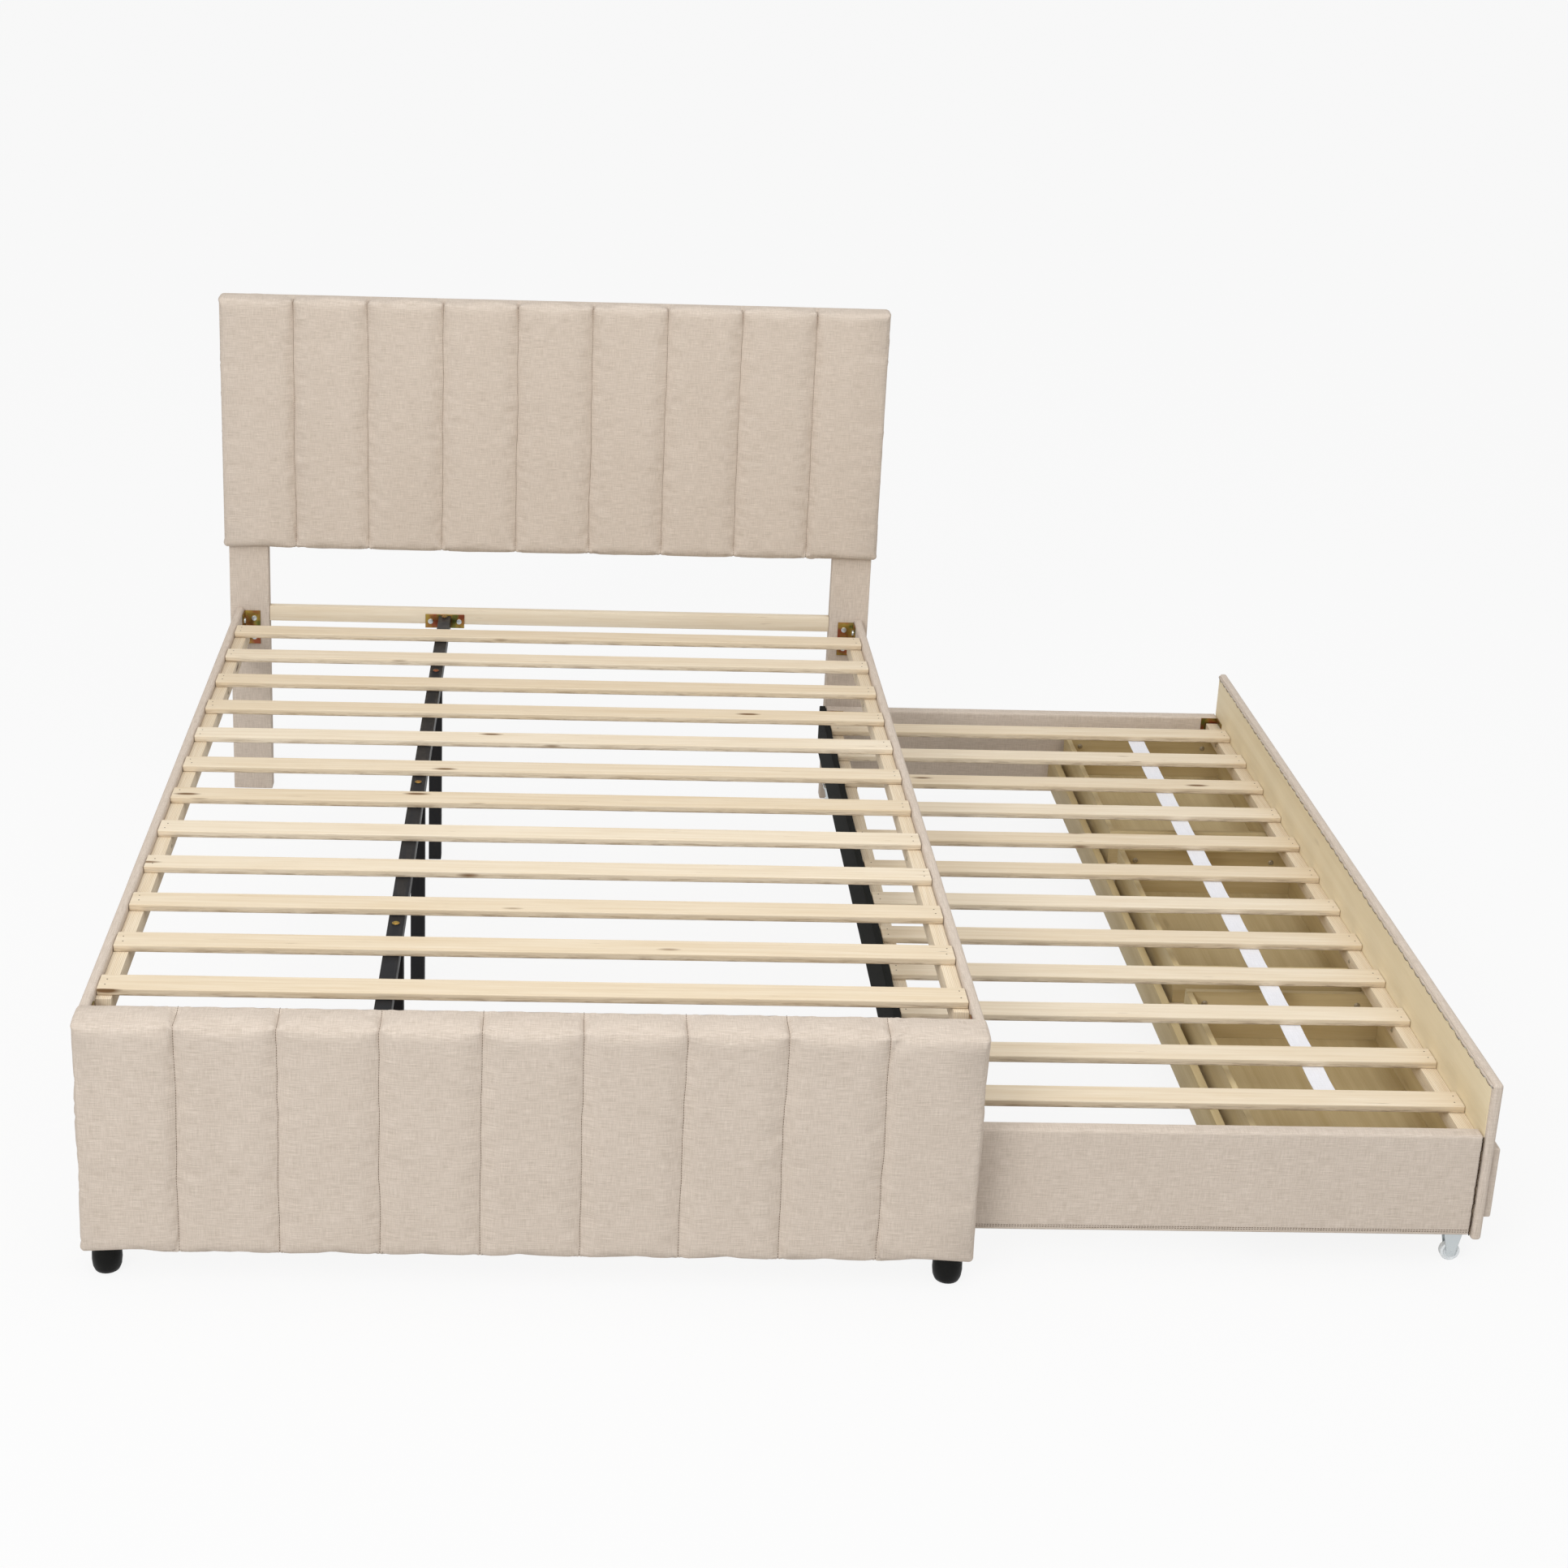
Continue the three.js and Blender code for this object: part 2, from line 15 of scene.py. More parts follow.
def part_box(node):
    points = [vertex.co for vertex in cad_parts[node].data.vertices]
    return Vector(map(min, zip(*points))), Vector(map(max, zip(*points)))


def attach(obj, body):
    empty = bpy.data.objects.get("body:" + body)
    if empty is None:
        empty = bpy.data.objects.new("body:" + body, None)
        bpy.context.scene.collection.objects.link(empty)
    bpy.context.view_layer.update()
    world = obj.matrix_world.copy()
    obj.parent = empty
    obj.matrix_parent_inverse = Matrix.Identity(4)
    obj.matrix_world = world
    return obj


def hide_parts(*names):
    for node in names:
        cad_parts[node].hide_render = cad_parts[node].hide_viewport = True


bl_info = {
    "name": "Upholstered Trundle Bed",
    "version": (1, 0, 0),
    "blender": (4, 5, 0),
    "location": "3D View > Sidebar > Trundle Bed",
    "description": "Makes an upholstered bed with a slatted trundle and drawers",
    "category": "Add Mesh",
}

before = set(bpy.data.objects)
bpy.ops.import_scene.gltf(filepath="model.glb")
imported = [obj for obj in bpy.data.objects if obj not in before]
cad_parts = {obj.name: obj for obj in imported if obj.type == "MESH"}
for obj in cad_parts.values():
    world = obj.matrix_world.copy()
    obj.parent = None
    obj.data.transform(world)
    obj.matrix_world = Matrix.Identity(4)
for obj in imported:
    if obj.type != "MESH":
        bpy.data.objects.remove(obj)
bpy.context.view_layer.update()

ENDS = ("foot", "head")
SIDES = ("left", "right")
DRAWERS = (1, 2, 3)
LEGS = (1, 2, 3)
RUNNERS = (1, 2, 3, 4)
MM = 0.001
QUARTER = math.pi / 2
X, Y, Z = 0, 1, 2
TOUCH = 0.3 * MM  # the gap that pieces which touch keep
TINY = 1e-9


def paint(red, green, blue):
    """A colour given in 0 to 255 display values, as the linear values that shaders take."""
    def linear(value):
        share = value / 255
        return share / 12.92 if share <= 0.04045 else ((share + 0.055) / 1.055) ** 2.4
    return linear(red), linear(green), linear(blue)


# ---- What a user can change -----------------------------------------------------------------

def size(label, about, default, low=0.0):
    return bpy.props.FloatProperty(
        name=label, description=about, default=default, min=low, unit="LENGTH", precision=4)


def colour(label, about, default):
    return bpy.props.FloatVectorProperty(
        name=label, description=about, default=default, size=3, min=0, max=1, subtype="COLOR")


class TrundleBedSewing(bpy.types.PropertyGroup):
    channels: bpy.props.IntProperty(
        name="Channels", description="Upright channels across a padded board", default=9, min=1)
    seam_depth: size("Seam Depth", "How far a seam is drawn into the padding", 7.5 * MM)
    seam_width: size("Seam Width", "How far from a seam the padding is drawn in", 3.4 * MM)
    channel_fall: size(
        "Channel Fall", "How far a channel falls from its middle to a seam", 4.5 * MM)
    seam_wander: size("Seam Wander", "How far a seam strays from a straight line", 3.2 * MM)
    bottom_room: size("Bottom Room", "Height above the bottom where the seams fade out", 26 * MM)
    board_step: size("Board Step", "Height of one row of the padded boards' cloth", 9 * MM)
    cloth_step: size("Cloth Step", "Side of one face of the flat covers", 20 * MM)
    cloth_give: size("Cloth Give", "Most that simulated cloth may move", 4 * MM)
    ripple: size("Ripple", "Depth of the slight unevenness of a stretched cover", 0.5 * MM)
    stitch_pitch: size("Stitch Pitch", "Distance from one stitch to the next", 5 * MM)
    stitch_length: size("Stitch Length", "Length of one stitch", 3.6 * MM)
    stitch_width: size("Stitch Width", "Thickness of the thread", 1.1 * MM)


class TrundleBedTimber(bpy.types.PropertyGroup):
    edge_round: size("Edge Round", "Radius of the eased edges of bare wood", 1.2 * MM)
    slat_round: size("Slat Round", "Radius of a slat's long edges", 2.2 * MM)
    board_round: size("Board Round", "Radius of a drawer board's edges", 0.8 * MM)
    strap_sag: size("Strap Sag", "How far the strap hangs between two slats", 2.5 * MM)
    seed: bpy.props.IntProperty(name="Seed", description="Seed of the wood's tones", default=11)


class TrundleBedColours(bpy.types.PropertyGroup):
    linen_light: colour("Linen Light", "The cover's pale threads", paint(221, 208, 195))
    linen_dark: colour("Linen Dark", "The cover's dark threads", paint(188, 174, 159))
    pine_light: colour("Pine Light", "Pale wood of the slats", paint(234, 221, 199))
    pine_dark: colour("Pine Dark", "Summer wood of the slats", paint(217, 198, 168))
    lining_light: colour(
        "Lining Light", "Bare inside of the trundle's front", paint(238, 225, 195))
    lining_dark: colour("Lining Dark", "Streaks on the front's inside", paint(220, 203, 167))
    ply_light: colour("Plywood Light", "Pale face of the drawers", paint(218, 201, 160))
    ply_dark: colour("Plywood Dark", "Dark streaks of the drawers", paint(186, 164, 118))
    knot: colour("Knot", "Knots and rough marks in the wood", paint(120, 92, 62))
    backing: colour("Backing", "Black backing cloth", paint(40, 41, 40))
    black_steel: colour("Black Steel", "Coated beam and legs", paint(34, 34, 36))
    zinc_gold: colour("Zinc Gold", "Main tone of the yellow zinc", paint(158, 134, 62))
    zinc_red: colour("Zinc Red", "Red tone of the yellow zinc", paint(140, 74, 50))
    zinc_green: colour("Zinc Green", "Green tone of the yellow zinc", paint(98, 102, 48))
    bright_zinc: colour("Bright Zinc", "Casters and fastenings", paint(200, 206, 208))
    foot: colour("Foot", "Moulded feet", paint(18, 18, 17))
    nylon: colour("Nylon", "Caster wheels", paint(234, 238, 240))
    webbing: colour("Webbing", "Strap under the trundle's slats", paint(238, 238, 243))
    thread: colour("Thread", "Sewing thread", paint(112, 94, 76))
    # Painted shade: this dark thread colour stands for the shadow in the crack of the trundle's
    # corner seams and the shadow under the front hem's frayed edge.
    dark_thread: colour("Painted Shade Thread", "Frayed edges and tight seams", paint(72, 57, 45))
    nail: colour("Nail", "Dark nail heads", paint(84, 70, 56))
    screw: colour("Screw", "Screws in the ledgers and drawers", paint(172, 160, 138))
    floor: colour("Floor", "The plain floor", paint(216, 216, 216))


class TrundleBedStage(bpy.types.PropertyGroup):
    lens: bpy.props.FloatProperty(
        name="Lens", description="Focal length in millimetres", default=56.98, min=1)
    place: bpy.props.FloatVectorProperty(
        name="Camera Place", description="Where the camera stands", unit="LENGTH",
        default=(-0.4206, -4.85846, 2.62698))
    turn: bpy.props.FloatVectorProperty(
        name="Camera Turn", description="The camera's turns in degrees, about X, Y and Z",
        default=(72.0072, -1.7328, -1.3323))
    shift: bpy.props.FloatVectorProperty(
        name="Camera Shift", description="Shift across and up, in frame widths", size=2,
        default=(0.0875, -0.1587))
    sky: bpy.props.FloatProperty(
        name="Sky", description="Strength of the even light from all round", default=0.64, min=0)
    overhead: bpy.props.FloatProperty(
        name="Overhead", description="Power of the overhead lamp in watts", default=64, min=0)
    front: bpy.props.FloatProperty(
        name="Front", description="Power of the lamp in front in watts", default=200, min=0)


GROUPS = {
    "trundle_bed_sewing": TrundleBedSewing, "trundle_bed_timber": TrundleBedTimber,
    "trundle_bed_colours": TrundleBedColours, "trundle_bed_stage": TrundleBedStage,
}


def sewing():
    return bpy.context.scene.trundle_bed_sewing


def timber():
    return bpy.context.scene.trundle_bed_timber


def colours():
    return bpy.context.scene.trundle_bed_colours


# ---- Node helpers ---------------------------------------------------------------------------

def add_node(tree, kind, **settings):
    node = tree.nodes.new(kind)
    for name, value in settings.items():
        setattr(node, name, value)
    return node


def feed(tree, socket, value):
    """Links value to a socket if it is itself a socket, or sets it as the socket's value."""
    if isinstance(value, bpy.types.NodeSocket):
        tree.links.new(value, socket)
    else:
        socket.default_value = value


def calc(tree, operation, first, second=None):
    node = add_node(tree, "ShaderNodeMath", operation=operation)
    feed(tree, node.inputs[0], first)
    if second is not None:
        feed(tree, node.inputs[1], second)
    return node.outputs[0]


def stretched(tree, vector, scale):
    node = add_node(tree, "ShaderNodeVectorMath", operation="MULTIPLY")
    feed(tree, node.inputs[0], vector)
    node.inputs[1].default_value = scale
    return node.outputs[0]


def noise_value(tree, vector, scale, detail=2.0, roughness=0.5):
    node = add_node(tree, "ShaderNodeTexNoise")
    feed(tree, node.inputs["Vector"], vector)
    feed(tree, node.inputs["Scale"], scale)
    node.inputs["Detail"].default_value = detail
    node.inputs["Roughness"].default_value = roughness
    return node.outputs["Fac"]


def between(tree, value, low, high, to_low=0.0, to_high=1.0):
    """The value taken from one range to another, and kept inside it."""
    node = add_node(tree, "ShaderNodeMapRange", clamp=True)
    feed(tree, node.inputs["Value"], value)
    for name, number in (("From Min", low), ("From Max", high),
                         ("To Min", to_low), ("To Max", to_high)):
        node.inputs[name].default_value = number
    return node.outputs["Result"]


def mixed(tree, share, first, second):
    node = add_node(tree, "ShaderNodeMix", data_type="RGBA")
    feed(tree, node.inputs["Factor"], share)
    for socket, value in ((node.inputs[6], first), (node.inputs[7], second)):
        feed(tree, socket, value if isinstance(value, bpy.types.NodeSocket) else (*value, 1))
    return node.outputs[2]


def bumped(tree, height, distance, strength=1.0):
    node = add_node(tree, "ShaderNodeBump")
    feed(tree, node.inputs["Height"], height)
    node.inputs["Distance"].default_value = distance
    node.inputs["Strength"].default_value = strength
    return node.outputs["Normal"]


# ---- Shader groups --------------------------------------------------------------------------

def shader_group(name, inputs, outputs):
    """An empty shader group with named sockets, its input node and its output node."""
    tree = bpy.data.node_groups.new(name, "ShaderNodeTree")
    kinds = {"vector": "NodeSocketVector", "value": "NodeSocketFloat"}
    for label, kind, default in inputs:
        socket = tree.interface.new_socket(label, in_out="INPUT", socket_type=kinds[kind])
        if default is not None:
            socket.default_value = default
    for label in outputs:
        tree.interface.new_socket(label, in_out="OUTPUT", socket_type=kinds["value"])
    return tree, add_node(tree, "NodeGroupInput"), add_node(tree, "NodeGroupOutput")


def make_weave_group():
    """Crossed threads: their height, the streaks of uneven yarn and broad patches of tone."""
    tree, given, result = shader_group(
        "Weave", [("Vector", "vector", None), ("Thread Pitch", "value", 1.4 * MM),
                  ("Yarn Length", "value", 34 * MM)], ("Height", "Yarn", "Patches"))
    split = add_node(tree, "ShaderNodeSeparateXYZ")
    tree.links.new(given.outputs["Vector"], split.inputs[0])
    turns = calc(tree, "DIVIDE", math.pi, given.outputs["Thread Pitch"])
    waves = [calc(tree, "SINE", calc(tree, "MULTIPLY", split.outputs[axis], turns))
             for axis in (X, Y)]
    over = between(tree, calc(tree, "MULTIPLY", waves[0], waves[1]), -0.4, 0.4)
    ridges = [calc(tree, "ABSOLUTE", wave) for wave in waves]
    upper = calc(tree, "MULTIPLY", over, ridges[0])
    lower = calc(tree, "MULTIPLY", calc(tree, "SUBTRACT", 1.0, over), ridges[1])
    tree.links.new(calc(tree, "ADD", upper, lower), result.inputs["Height"])
    scale = calc(tree, "DIVIDE", 1.0, given.outputs["Yarn Length"])
    streaks = [noise_value(tree, stretched(tree, given.outputs["Vector"], way), scale, 3.0, 0.7)
               for way in ((1, 24, 1), (22, 1.2, 1))]
    weft = calc(tree, "MULTIPLY", streaks[0], 0.6)
    yarn = calc(tree, "ADD", weft, calc(tree, "MULTIPLY", streaks[1], 0.4))
    tree.links.new(between(tree, yarn, 0.36, 0.64), result.inputs["Yarn"])
    tree.links.new(noise_value(tree, given.outputs["Vector"], 7.0, 3.0), result.inputs["Patches"])
    return tree


def make_grain_group():
    """Wood seen along its length: growth bands, fine fibres, and knots and rough marks."""
    tree, given, result = shader_group(
        "Grain", [("Vector", "vector", None), ("Band Width", "value", 9 * MM)],
        ("Bands", "Fibres", "Marks"))
    vector = given.outputs["Vector"]
    scale = calc(tree, "DIVIDE", 1.0, given.outputs["Band Width"])
    bands = noise_value(tree, stretched(tree, vector, (0.035, 1, 1)), scale, 4.0, 0.58)
    tree.links.new(between(tree, bands, 0.3, 0.7), result.inputs["Bands"])
    fibres = noise_value(tree, stretched(tree, vector, (14, 760, 760)), 1.0, 3.0, 0.65)
    tree.links.new(fibres, result.inputs["Fibres"])
    cells = add_node(tree, "ShaderNodeTexVoronoi")
    tree.links.new(stretched(tree, vector, (3.4, 15, 15)), cells.inputs["Vector"])
    cells.inputs["Scale"].default_value = 1.0
    knots = between(tree, cells.outputs["Distance"], 0.05, 0.11, 1.0, 0.0)
    rough = noise_value(tree, stretched(tree, vector, (9, 210, 210)), 1.0, 2.0, 0.7)
    marks = calc(tree, "MAXIMUM", knots, between(tree, rough, 0.70, 0.78, 0.0, 0.7))
    tree.links.new(marks, result.inputs["Marks"])
    return tree


def make_wear_group():
    """Handling marks: soft smudges and fine scratches."""
    tree, given, result = shader_group(
        "Wear", [("Vector", "vector", None), ("Smudge Scale", "value", 40.0)],
        ("Smudges", "Scratches"))
    smudges = noise_value(tree, given.outputs["Vector"], given.outputs["Smudge Scale"], 4.0)
    tree.links.new(smudges, result.inputs["Smudges"])
    lines = noise_value(tree, stretched(tree, given.outputs["Vector"], (30, 900, 300)), 1.0, 2.0)
    tree.links.new(between(tree, lines, 0.62, 0.75), result.inputs["Scratches"])
    return tree


def group_node(tree, name, vector, **values):
    made = {"Weave": make_weave_group, "Grain": make_grain_group, "Wear": make_wear_group}
    node = add_node(tree, "ShaderNodeGroup")
    node.node_tree = bpy.data.node_groups.get(name) or made[name]()
    feed(tree, node.inputs["Vector"], vector)
    for label, value in values.items():
        node.inputs[label.replace("_", " ").title()].default_value = value
    return node


# ---- Materials ------------------------------------------------------------------------------

def new_material(name):
    """Makes a material. Gives its node tree, its Principled shader and the piece's own UV."""
    material = bpy.data.materials.new(f"{name}_finish")
    material.use_nodes = True
    tree = material.node_tree
    shader = tree.nodes["Principled BSDF"]
    return tree, shader, add_node(tree, "ShaderNodeUVMap").outputs["UV"]


def make_linen():
    """Woven cover cloth, with uneven yarn in both directions and painted shade between its
    threads.
    """
    tree, shader, uv = new_material("linen")
    weave = group_node(tree, "Weave", uv)
    yarn = weave.outputs["Yarn"]
    patches = between(tree, weave.outputs["Patches"], 0.3, 0.7, -0.05, 0.05)
    # Painted shade and highlight: the colour darkens in the hollows between threads and lightens
    # on their crowns.
    threads = between(tree, weave.outputs["Height"], 0.2, 0.9, -0.12, 0.12)
    share = calc(tree, "ADD", calc(tree, "ADD", yarn, threads), patches)
    feed(tree, shader.inputs["Base Color"],
         mixed(tree, share, colours().linen_dark, colours().linen_light))
    shader.inputs["Roughness"].default_value = 0.95
    shader.inputs["Specular IOR Level"].default_value = 0.1
    shader.inputs["Sheen Weight"].default_value = 0.02
    shader.inputs["Sheen Roughness"].default_value = 0.6
    height = calc(tree, "ADD", weave.outputs["Height"], calc(tree, "MULTIPLY", yarn, 0.8))
    feed(tree, shader.inputs["Normal"], bumped(tree, height, 0.22 * MM, 0.7))


def make_wood(name, light, dark, band_width, marks=1.0, roughness=0.6, plies=0.0):
    """Bare wood. plies is the pitch of the dark glue lines, where it is laminated."""
    tree, shader, uv = new_material(name)
    grain = group_node(tree, "Grain", uv, band_width=band_width)
    tone = add_node(tree, "ShaderNodeAttribute", attribute_name="tone").outputs["Fac"]
    fibres = between(tree, grain.outputs["Fibres"], 0.3, 0.7, -0.16, 0.16)
    share = calc(tree, "ADD", calc(tree, "ADD", grain.outputs["Bands"], fibres),
                 between(tree, tone, 0, 1, -0.35, 0.35))
    colour_now = mixed(tree, between(tree, share, -0.2, 1.2), light, dark)
    if plies:
        split = add_node(tree, "ShaderNodeSeparateXYZ")
        tree.links.new(uv, split.inputs[0])
        wave = calc(tree, "SINE", calc(tree, "MULTIPLY", split.outputs[1], math.tau / plies))
        lines = between(tree, wave, 0.7, 1.0, 0.0, 0.9)
        colour_now = mixed(tree, calc(tree, "MULTIPLY", lines, grain.outputs["Fibres"]),
                           colour_now, colours().knot)
    rough = add_node(tree, "ShaderNodeAttribute", attribute_name="rough").outputs["Fac"]
    torn = noise_value(tree, stretched(tree, uv, (16, 260, 260)), 1.0, 3.0, 0.7)
    torn = calc(tree, "MULTIPLY", between(tree, torn, 0.46, 0.60, 0.12, 0.85), rough)
    flaw = calc(tree, "MAXIMUM", calc(tree, "MULTIPLY", grain.outputs["Marks"], marks), torn)
    feed(tree, shader.inputs["Base Color"], mixed(tree, flaw, colour_now, colours().knot))
    feed(tree, shader.inputs["Roughness"],
         between(tree, grain.outputs["Fibres"], 0.2, 0.8, roughness - 0.06, roughness + 0.1))
    shader.inputs["Specular IOR Level"].default_value = 0.2
    feed(tree, shader.inputs["Normal"], bumped(tree, grain.outputs["Fibres"], 0.12 * MM, 0.6))


def make_cloth(name, base, dark_share, pitch):
    """Plain webbing or backing cloth, with a coarse weave and little yarn variation."""
    tree, shader, uv = new_material(name)
    weave = group_node(tree, "Weave", uv, thread_pitch=pitch)
    dark = tuple(value * dark_share for value in base)
    feed(tree, shader.inputs["Base Color"], mixed(tree, weave.outputs["Yarn"], dark, base))
    shader.inputs["Roughness"].default_value = 0.95
    shader.inputs["Specular IOR Level"].default_value = 0.1
    feed(tree, shader.inputs["Normal"], bumped(tree, weave.outputs["Height"], 0.2 * MM, 0.7))


def make_worn(name, base, roughness, metallic=0.0, grit=0.0, worn=None):
    """Coated or plated metal and moulded plastic, with smudges, scratches and a fine grit."""
    tree, shader, uv = new_material(name)
    wear = group_node(tree, "Wear", uv)
    scratches = calc(tree, "MULTIPLY", wear.outputs["Scratches"], 0.25)
    brighter = worn or tuple(min(1, value * 1.6 + 0.01) for value in base)
    feed(tree, shader.inputs["Base Color"], mixed(tree, scratches, base, brighter))
    shader.inputs["Metallic"].default_value = metallic
    shader.inputs["Specular IOR Level"].default_value = 0.5 if metallic else 0.12
    feed(tree, shader.inputs["Roughness"],
         between(tree, wear.outputs["Smudges"], 0.25, 0.75, roughness - 0.08, roughness + 0.12))
    if grit:
        feed(tree, shader.inputs["Normal"],
             bumped(tree, noise_value(tree, uv, 1400.0, 1.0), grit, 0.5))


def make_yellow_zinc():
    """Plated steel whose thin film turns from gold to red and green."""
    tree, shader, uv = new_material("yellow_zinc")
    wear = group_node(tree, "Wear", uv)
    film = between(tree, noise_value(tree, uv, 34.0, 2.0), 0.36, 0.62)
    green_film = noise_value(tree, stretched(tree, uv, (1.7, 0.8, 1)), 26.0, 2.0)
    warm = mixed(tree, film, colours().zinc_gold, colours().zinc_red)
    plate = mixed(tree, between(tree, green_film, 0.5, 0.66), warm, colours().zinc_green)
    bolt = add_node(tree, "ShaderNodeAttribute", attribute_name="bolt").outputs["Fac"]
    feed(tree, shader.inputs["Base Color"], mixed(tree, bolt, plate, colours().bright_zinc))
    shader.inputs["Metallic"].default_value = 0.85
    feed(tree, shader.inputs["Roughness"],
         between(tree, wear.outputs["Smudges"], 0.25, 0.75, 0.26, 0.44))


def make_materials():
    """Makes every finish, each of which finish(name) gives back."""
    shade = colours()
    make_linen()
    make_yellow_zinc()
    make_wood("pine", shade.pine_light, shade.pine_dark, 9 * MM)
    make_wood("ledger", shade.pine_light, shade.pine_dark, 7 * MM, plies=3.2 * MM)
    make_wood("lining", shade.lining_light, shade.lining_dark, 50 * MM, 0.2, 0.5)
    make_wood("plywood", shade.ply_light, shade.ply_dark, 40 * MM, 0.25, 0.5)
    for name, base, dark_share, thread_pitch in (
            ("black_cloth", shade.backing, 0.7, 2.2 * MM),
            ("webbing", shade.webbing, 0.86, 1.8 * MM),
            ("thread", shade.thread, 0.6, 1.2 * MM),
            ("dark_thread", shade.dark_thread, 0.5, 1.2 * MM)):
        make_cloth(name, base, dark_share, thread_pitch)
    make_worn("black_steel", shade.black_steel, 0.42, grit=0.08 * MM)
    make_worn("black_plastic", shade.foot, 0.45, grit=0.06 * MM)
    make_worn("white_nylon", shade.nylon, 0.35, worn=shade.webbing)
    make_worn("bright_zinc", shade.bright_zinc, 0.3, metallic=0.9)
    make_worn("screw", shade.screw, 0.4, metallic=0.4)
    make_worn("nail", shade.nail, 0.45, metallic=0.5)


def finish(name):
    return bpy.data.materials[f"{name}_finish"]


# ---- Meshes ---------------------------------------------------------------------------------

def read_all(items, field, width=1, kind=np.float32):
    """One field of every item, as an array with the given number of columns."""
    values = np.empty(len(items) * width, kind)
    items.foreach_get(field, values)
    return values.reshape(-1, width) if width > 1 else values


def places_of(mesh):
    return read_all(mesh.vertices, "co", 3).astype(float)


def normals_of(mesh):
    return read_all(mesh.vertex_normals, "vector", 3).astype(float)


def corners_of(mesh):
    return read_all(mesh.loops, "vertex_index", kind=np.int32)


def place_all(mesh, places):
    mesh.vertices.foreach_set("co", places.astype(np.float32).ravel())
    mesh.update()


def unwrap(mesh, grain, shift=0.0):
    """Lays every face flat in metres, with U along the grain axis where the face holds it."""
    corners = corners_of(mesh)
    places = places_of(mesh)[corners]
    normals = read_all(mesh.polygons, "normal", 3)
    sides = read_all(mesh.polygons, "loop_total", kind=np.int32)
    facing = np.repeat(np.abs(normals).argmax(1), sides)
    along = np.where(facing == grain, (grain + 1) % 3, grain)
    across = 3 - along - facing
    rows = np.arange(len(corners))
    flat = np.stack([places[rows, along], places[rows, across]], 1) + np.reshape(shift, (-1, 1))
    layer = mesh.uv_layers.new(name="UVMap") if not mesh.uv_layers else mesh.uv_layers[0]
    layer.data.foreach_set("uv", flat.astype(np.float32).ravel())


def mark(mesh, name, values):
    """Stores a value at every point, where the materials find it by its name."""
    layer = mesh.attributes.get(name) or mesh.attributes.new(name, "FLOAT", "POINT")
    layer.data.foreach_set("value", np.broadcast_to(values, len(mesh.vertices)).astype(np.float32))


def in_scene(name, data):
    """A new object with the given data, in the scene."""
    thing = bpy.data.objects.new(name, data)
    bpy.context.scene.collection.objects.link(thing)
    return thing


def new_object(name, mesh, material, smooth=True):
    mesh.name = name
    piece = in_scene(name, mesh)
    mesh.materials.clear()
    mesh.materials.append(finish(material))
    mesh.polygons.foreach_set("use_smooth", [smooth] * len(mesh.polygons))
    return piece


def settle(piece, body, slot, *nodes):
    """Puts a piece under the body that it moves with and hides the nodes that it stands for. slot
    is not used.
    """
    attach(piece, body)
    if nodes:
        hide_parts(*nodes)
    return piece


def add_piece(name, mesh, body, slot, *nodes, material=None, smooth=True):
    """A finished piece, in the material of its slot unless another one is named."""
    settle(new_object(name, mesh, material or slot, smooth), body, slot, *nodes)


def mesh_from(vertices, faces):
    mesh = bpy.data.meshes.new("piece")
    mesh.from_pydata(vertices, [], faces)
    mesh.validate()
    return mesh


def tube_mesh(vertices, sides):
    """A closed tube through rings of points, with the given number of points in each ring."""
    faces = []
    for first in range(0, len(vertices) - sides, sides):
        second = first + sides
        for side in range(sides):
            after = (side + 1) % sides
            faces.append([first + side, first + after, second + after, second + side])
    faces += [list(range(sides))[::-1], list(range(len(vertices) - sides, len(vertices)))]
    mesh = mesh_from(vertices, faces)
    model = bmesh.new()
    model.from_mesh(mesh)
    bmesh.ops.recalc_face_normals(model, faces=model.faces)
    model.to_mesh(mesh)
    model.free()
    return mesh


def steps(low, high, radius, step):
    """Places from low to high: close together on the rounded ends, a step apart between."""
    turn = [radius * share for share in (0, 0.12, 0.3, 0.55, 0.8, 1)]
    middle = np.linspace(low + radius, high - radius,
                         max(2, round((high - low - 2 * radius) / step) + 1))
    return np.unique(np.round(
        np.concatenate([low + np.array(turn), middle, high - np.array(turn)]), 6))


def lattice_box(cuts, skip=None):
    """The closed surface of a box cut at the given places. skip(a, b) leaves out the cells of
    its two X faces that open on a hole right through it, and walls the hole."""
    counts = [len(places) for places in cuts]
    index, vertices, faces = {}, [], []

    def corner(*key):
        if key not in index:
            index[key] = len(vertices)
            vertices.append(tuple(cuts[axis][key[axis]] for axis in (X, Y, Z)))
        return index[key]

    def quad(axis, level, first, second, outward):
        spans = [(0, 0), (1, 0), (1, 1), (0, 1)]
        u, v = (axis + 1) % 3, (axis + 2) % 3
        keys = []
        for du, dv in spans if outward else reversed(spans):
            key = [0, 0, 0]
            key[axis], key[u], key[v] = level, first + du, second + dv
            keys.append(corner(*key))
        faces.append(keys)

    def filled(b, c):
        inside = 0 <= b < counts[Y] - 1 and 0 <= c < counts[Z] - 1
        return inside and not (skip and skip(
            (cuts[Y][b] + cuts[Y][b + 1]) / 2, (cuts[Z][c] + cuts[Z][c + 1]) / 2))

    for b in range(counts[Y] - 1):
        for c in range(counts[Z] - 1):
            if not filled(b, c):
                continue
            quad(X, 0, b, c, False)
            quad(X, counts[X] - 1, b, c, True)
            for a in range(counts[X] - 1):
                for beyond, level, outward in ((filled(b - 1, c), b, False),
                                               (filled(b + 1, c), b + 1, True)):
                    if not beyond:
                        quad(Y, level, c, a, outward)
                for beyond, level, outward in ((filled(b, c - 1), c, False),
                                               (filled(b, c + 1), c + 1, True)):
                    if not beyond:
                        quad(Z, level, a, b, outward)
    return mesh_from(vertices, faces)


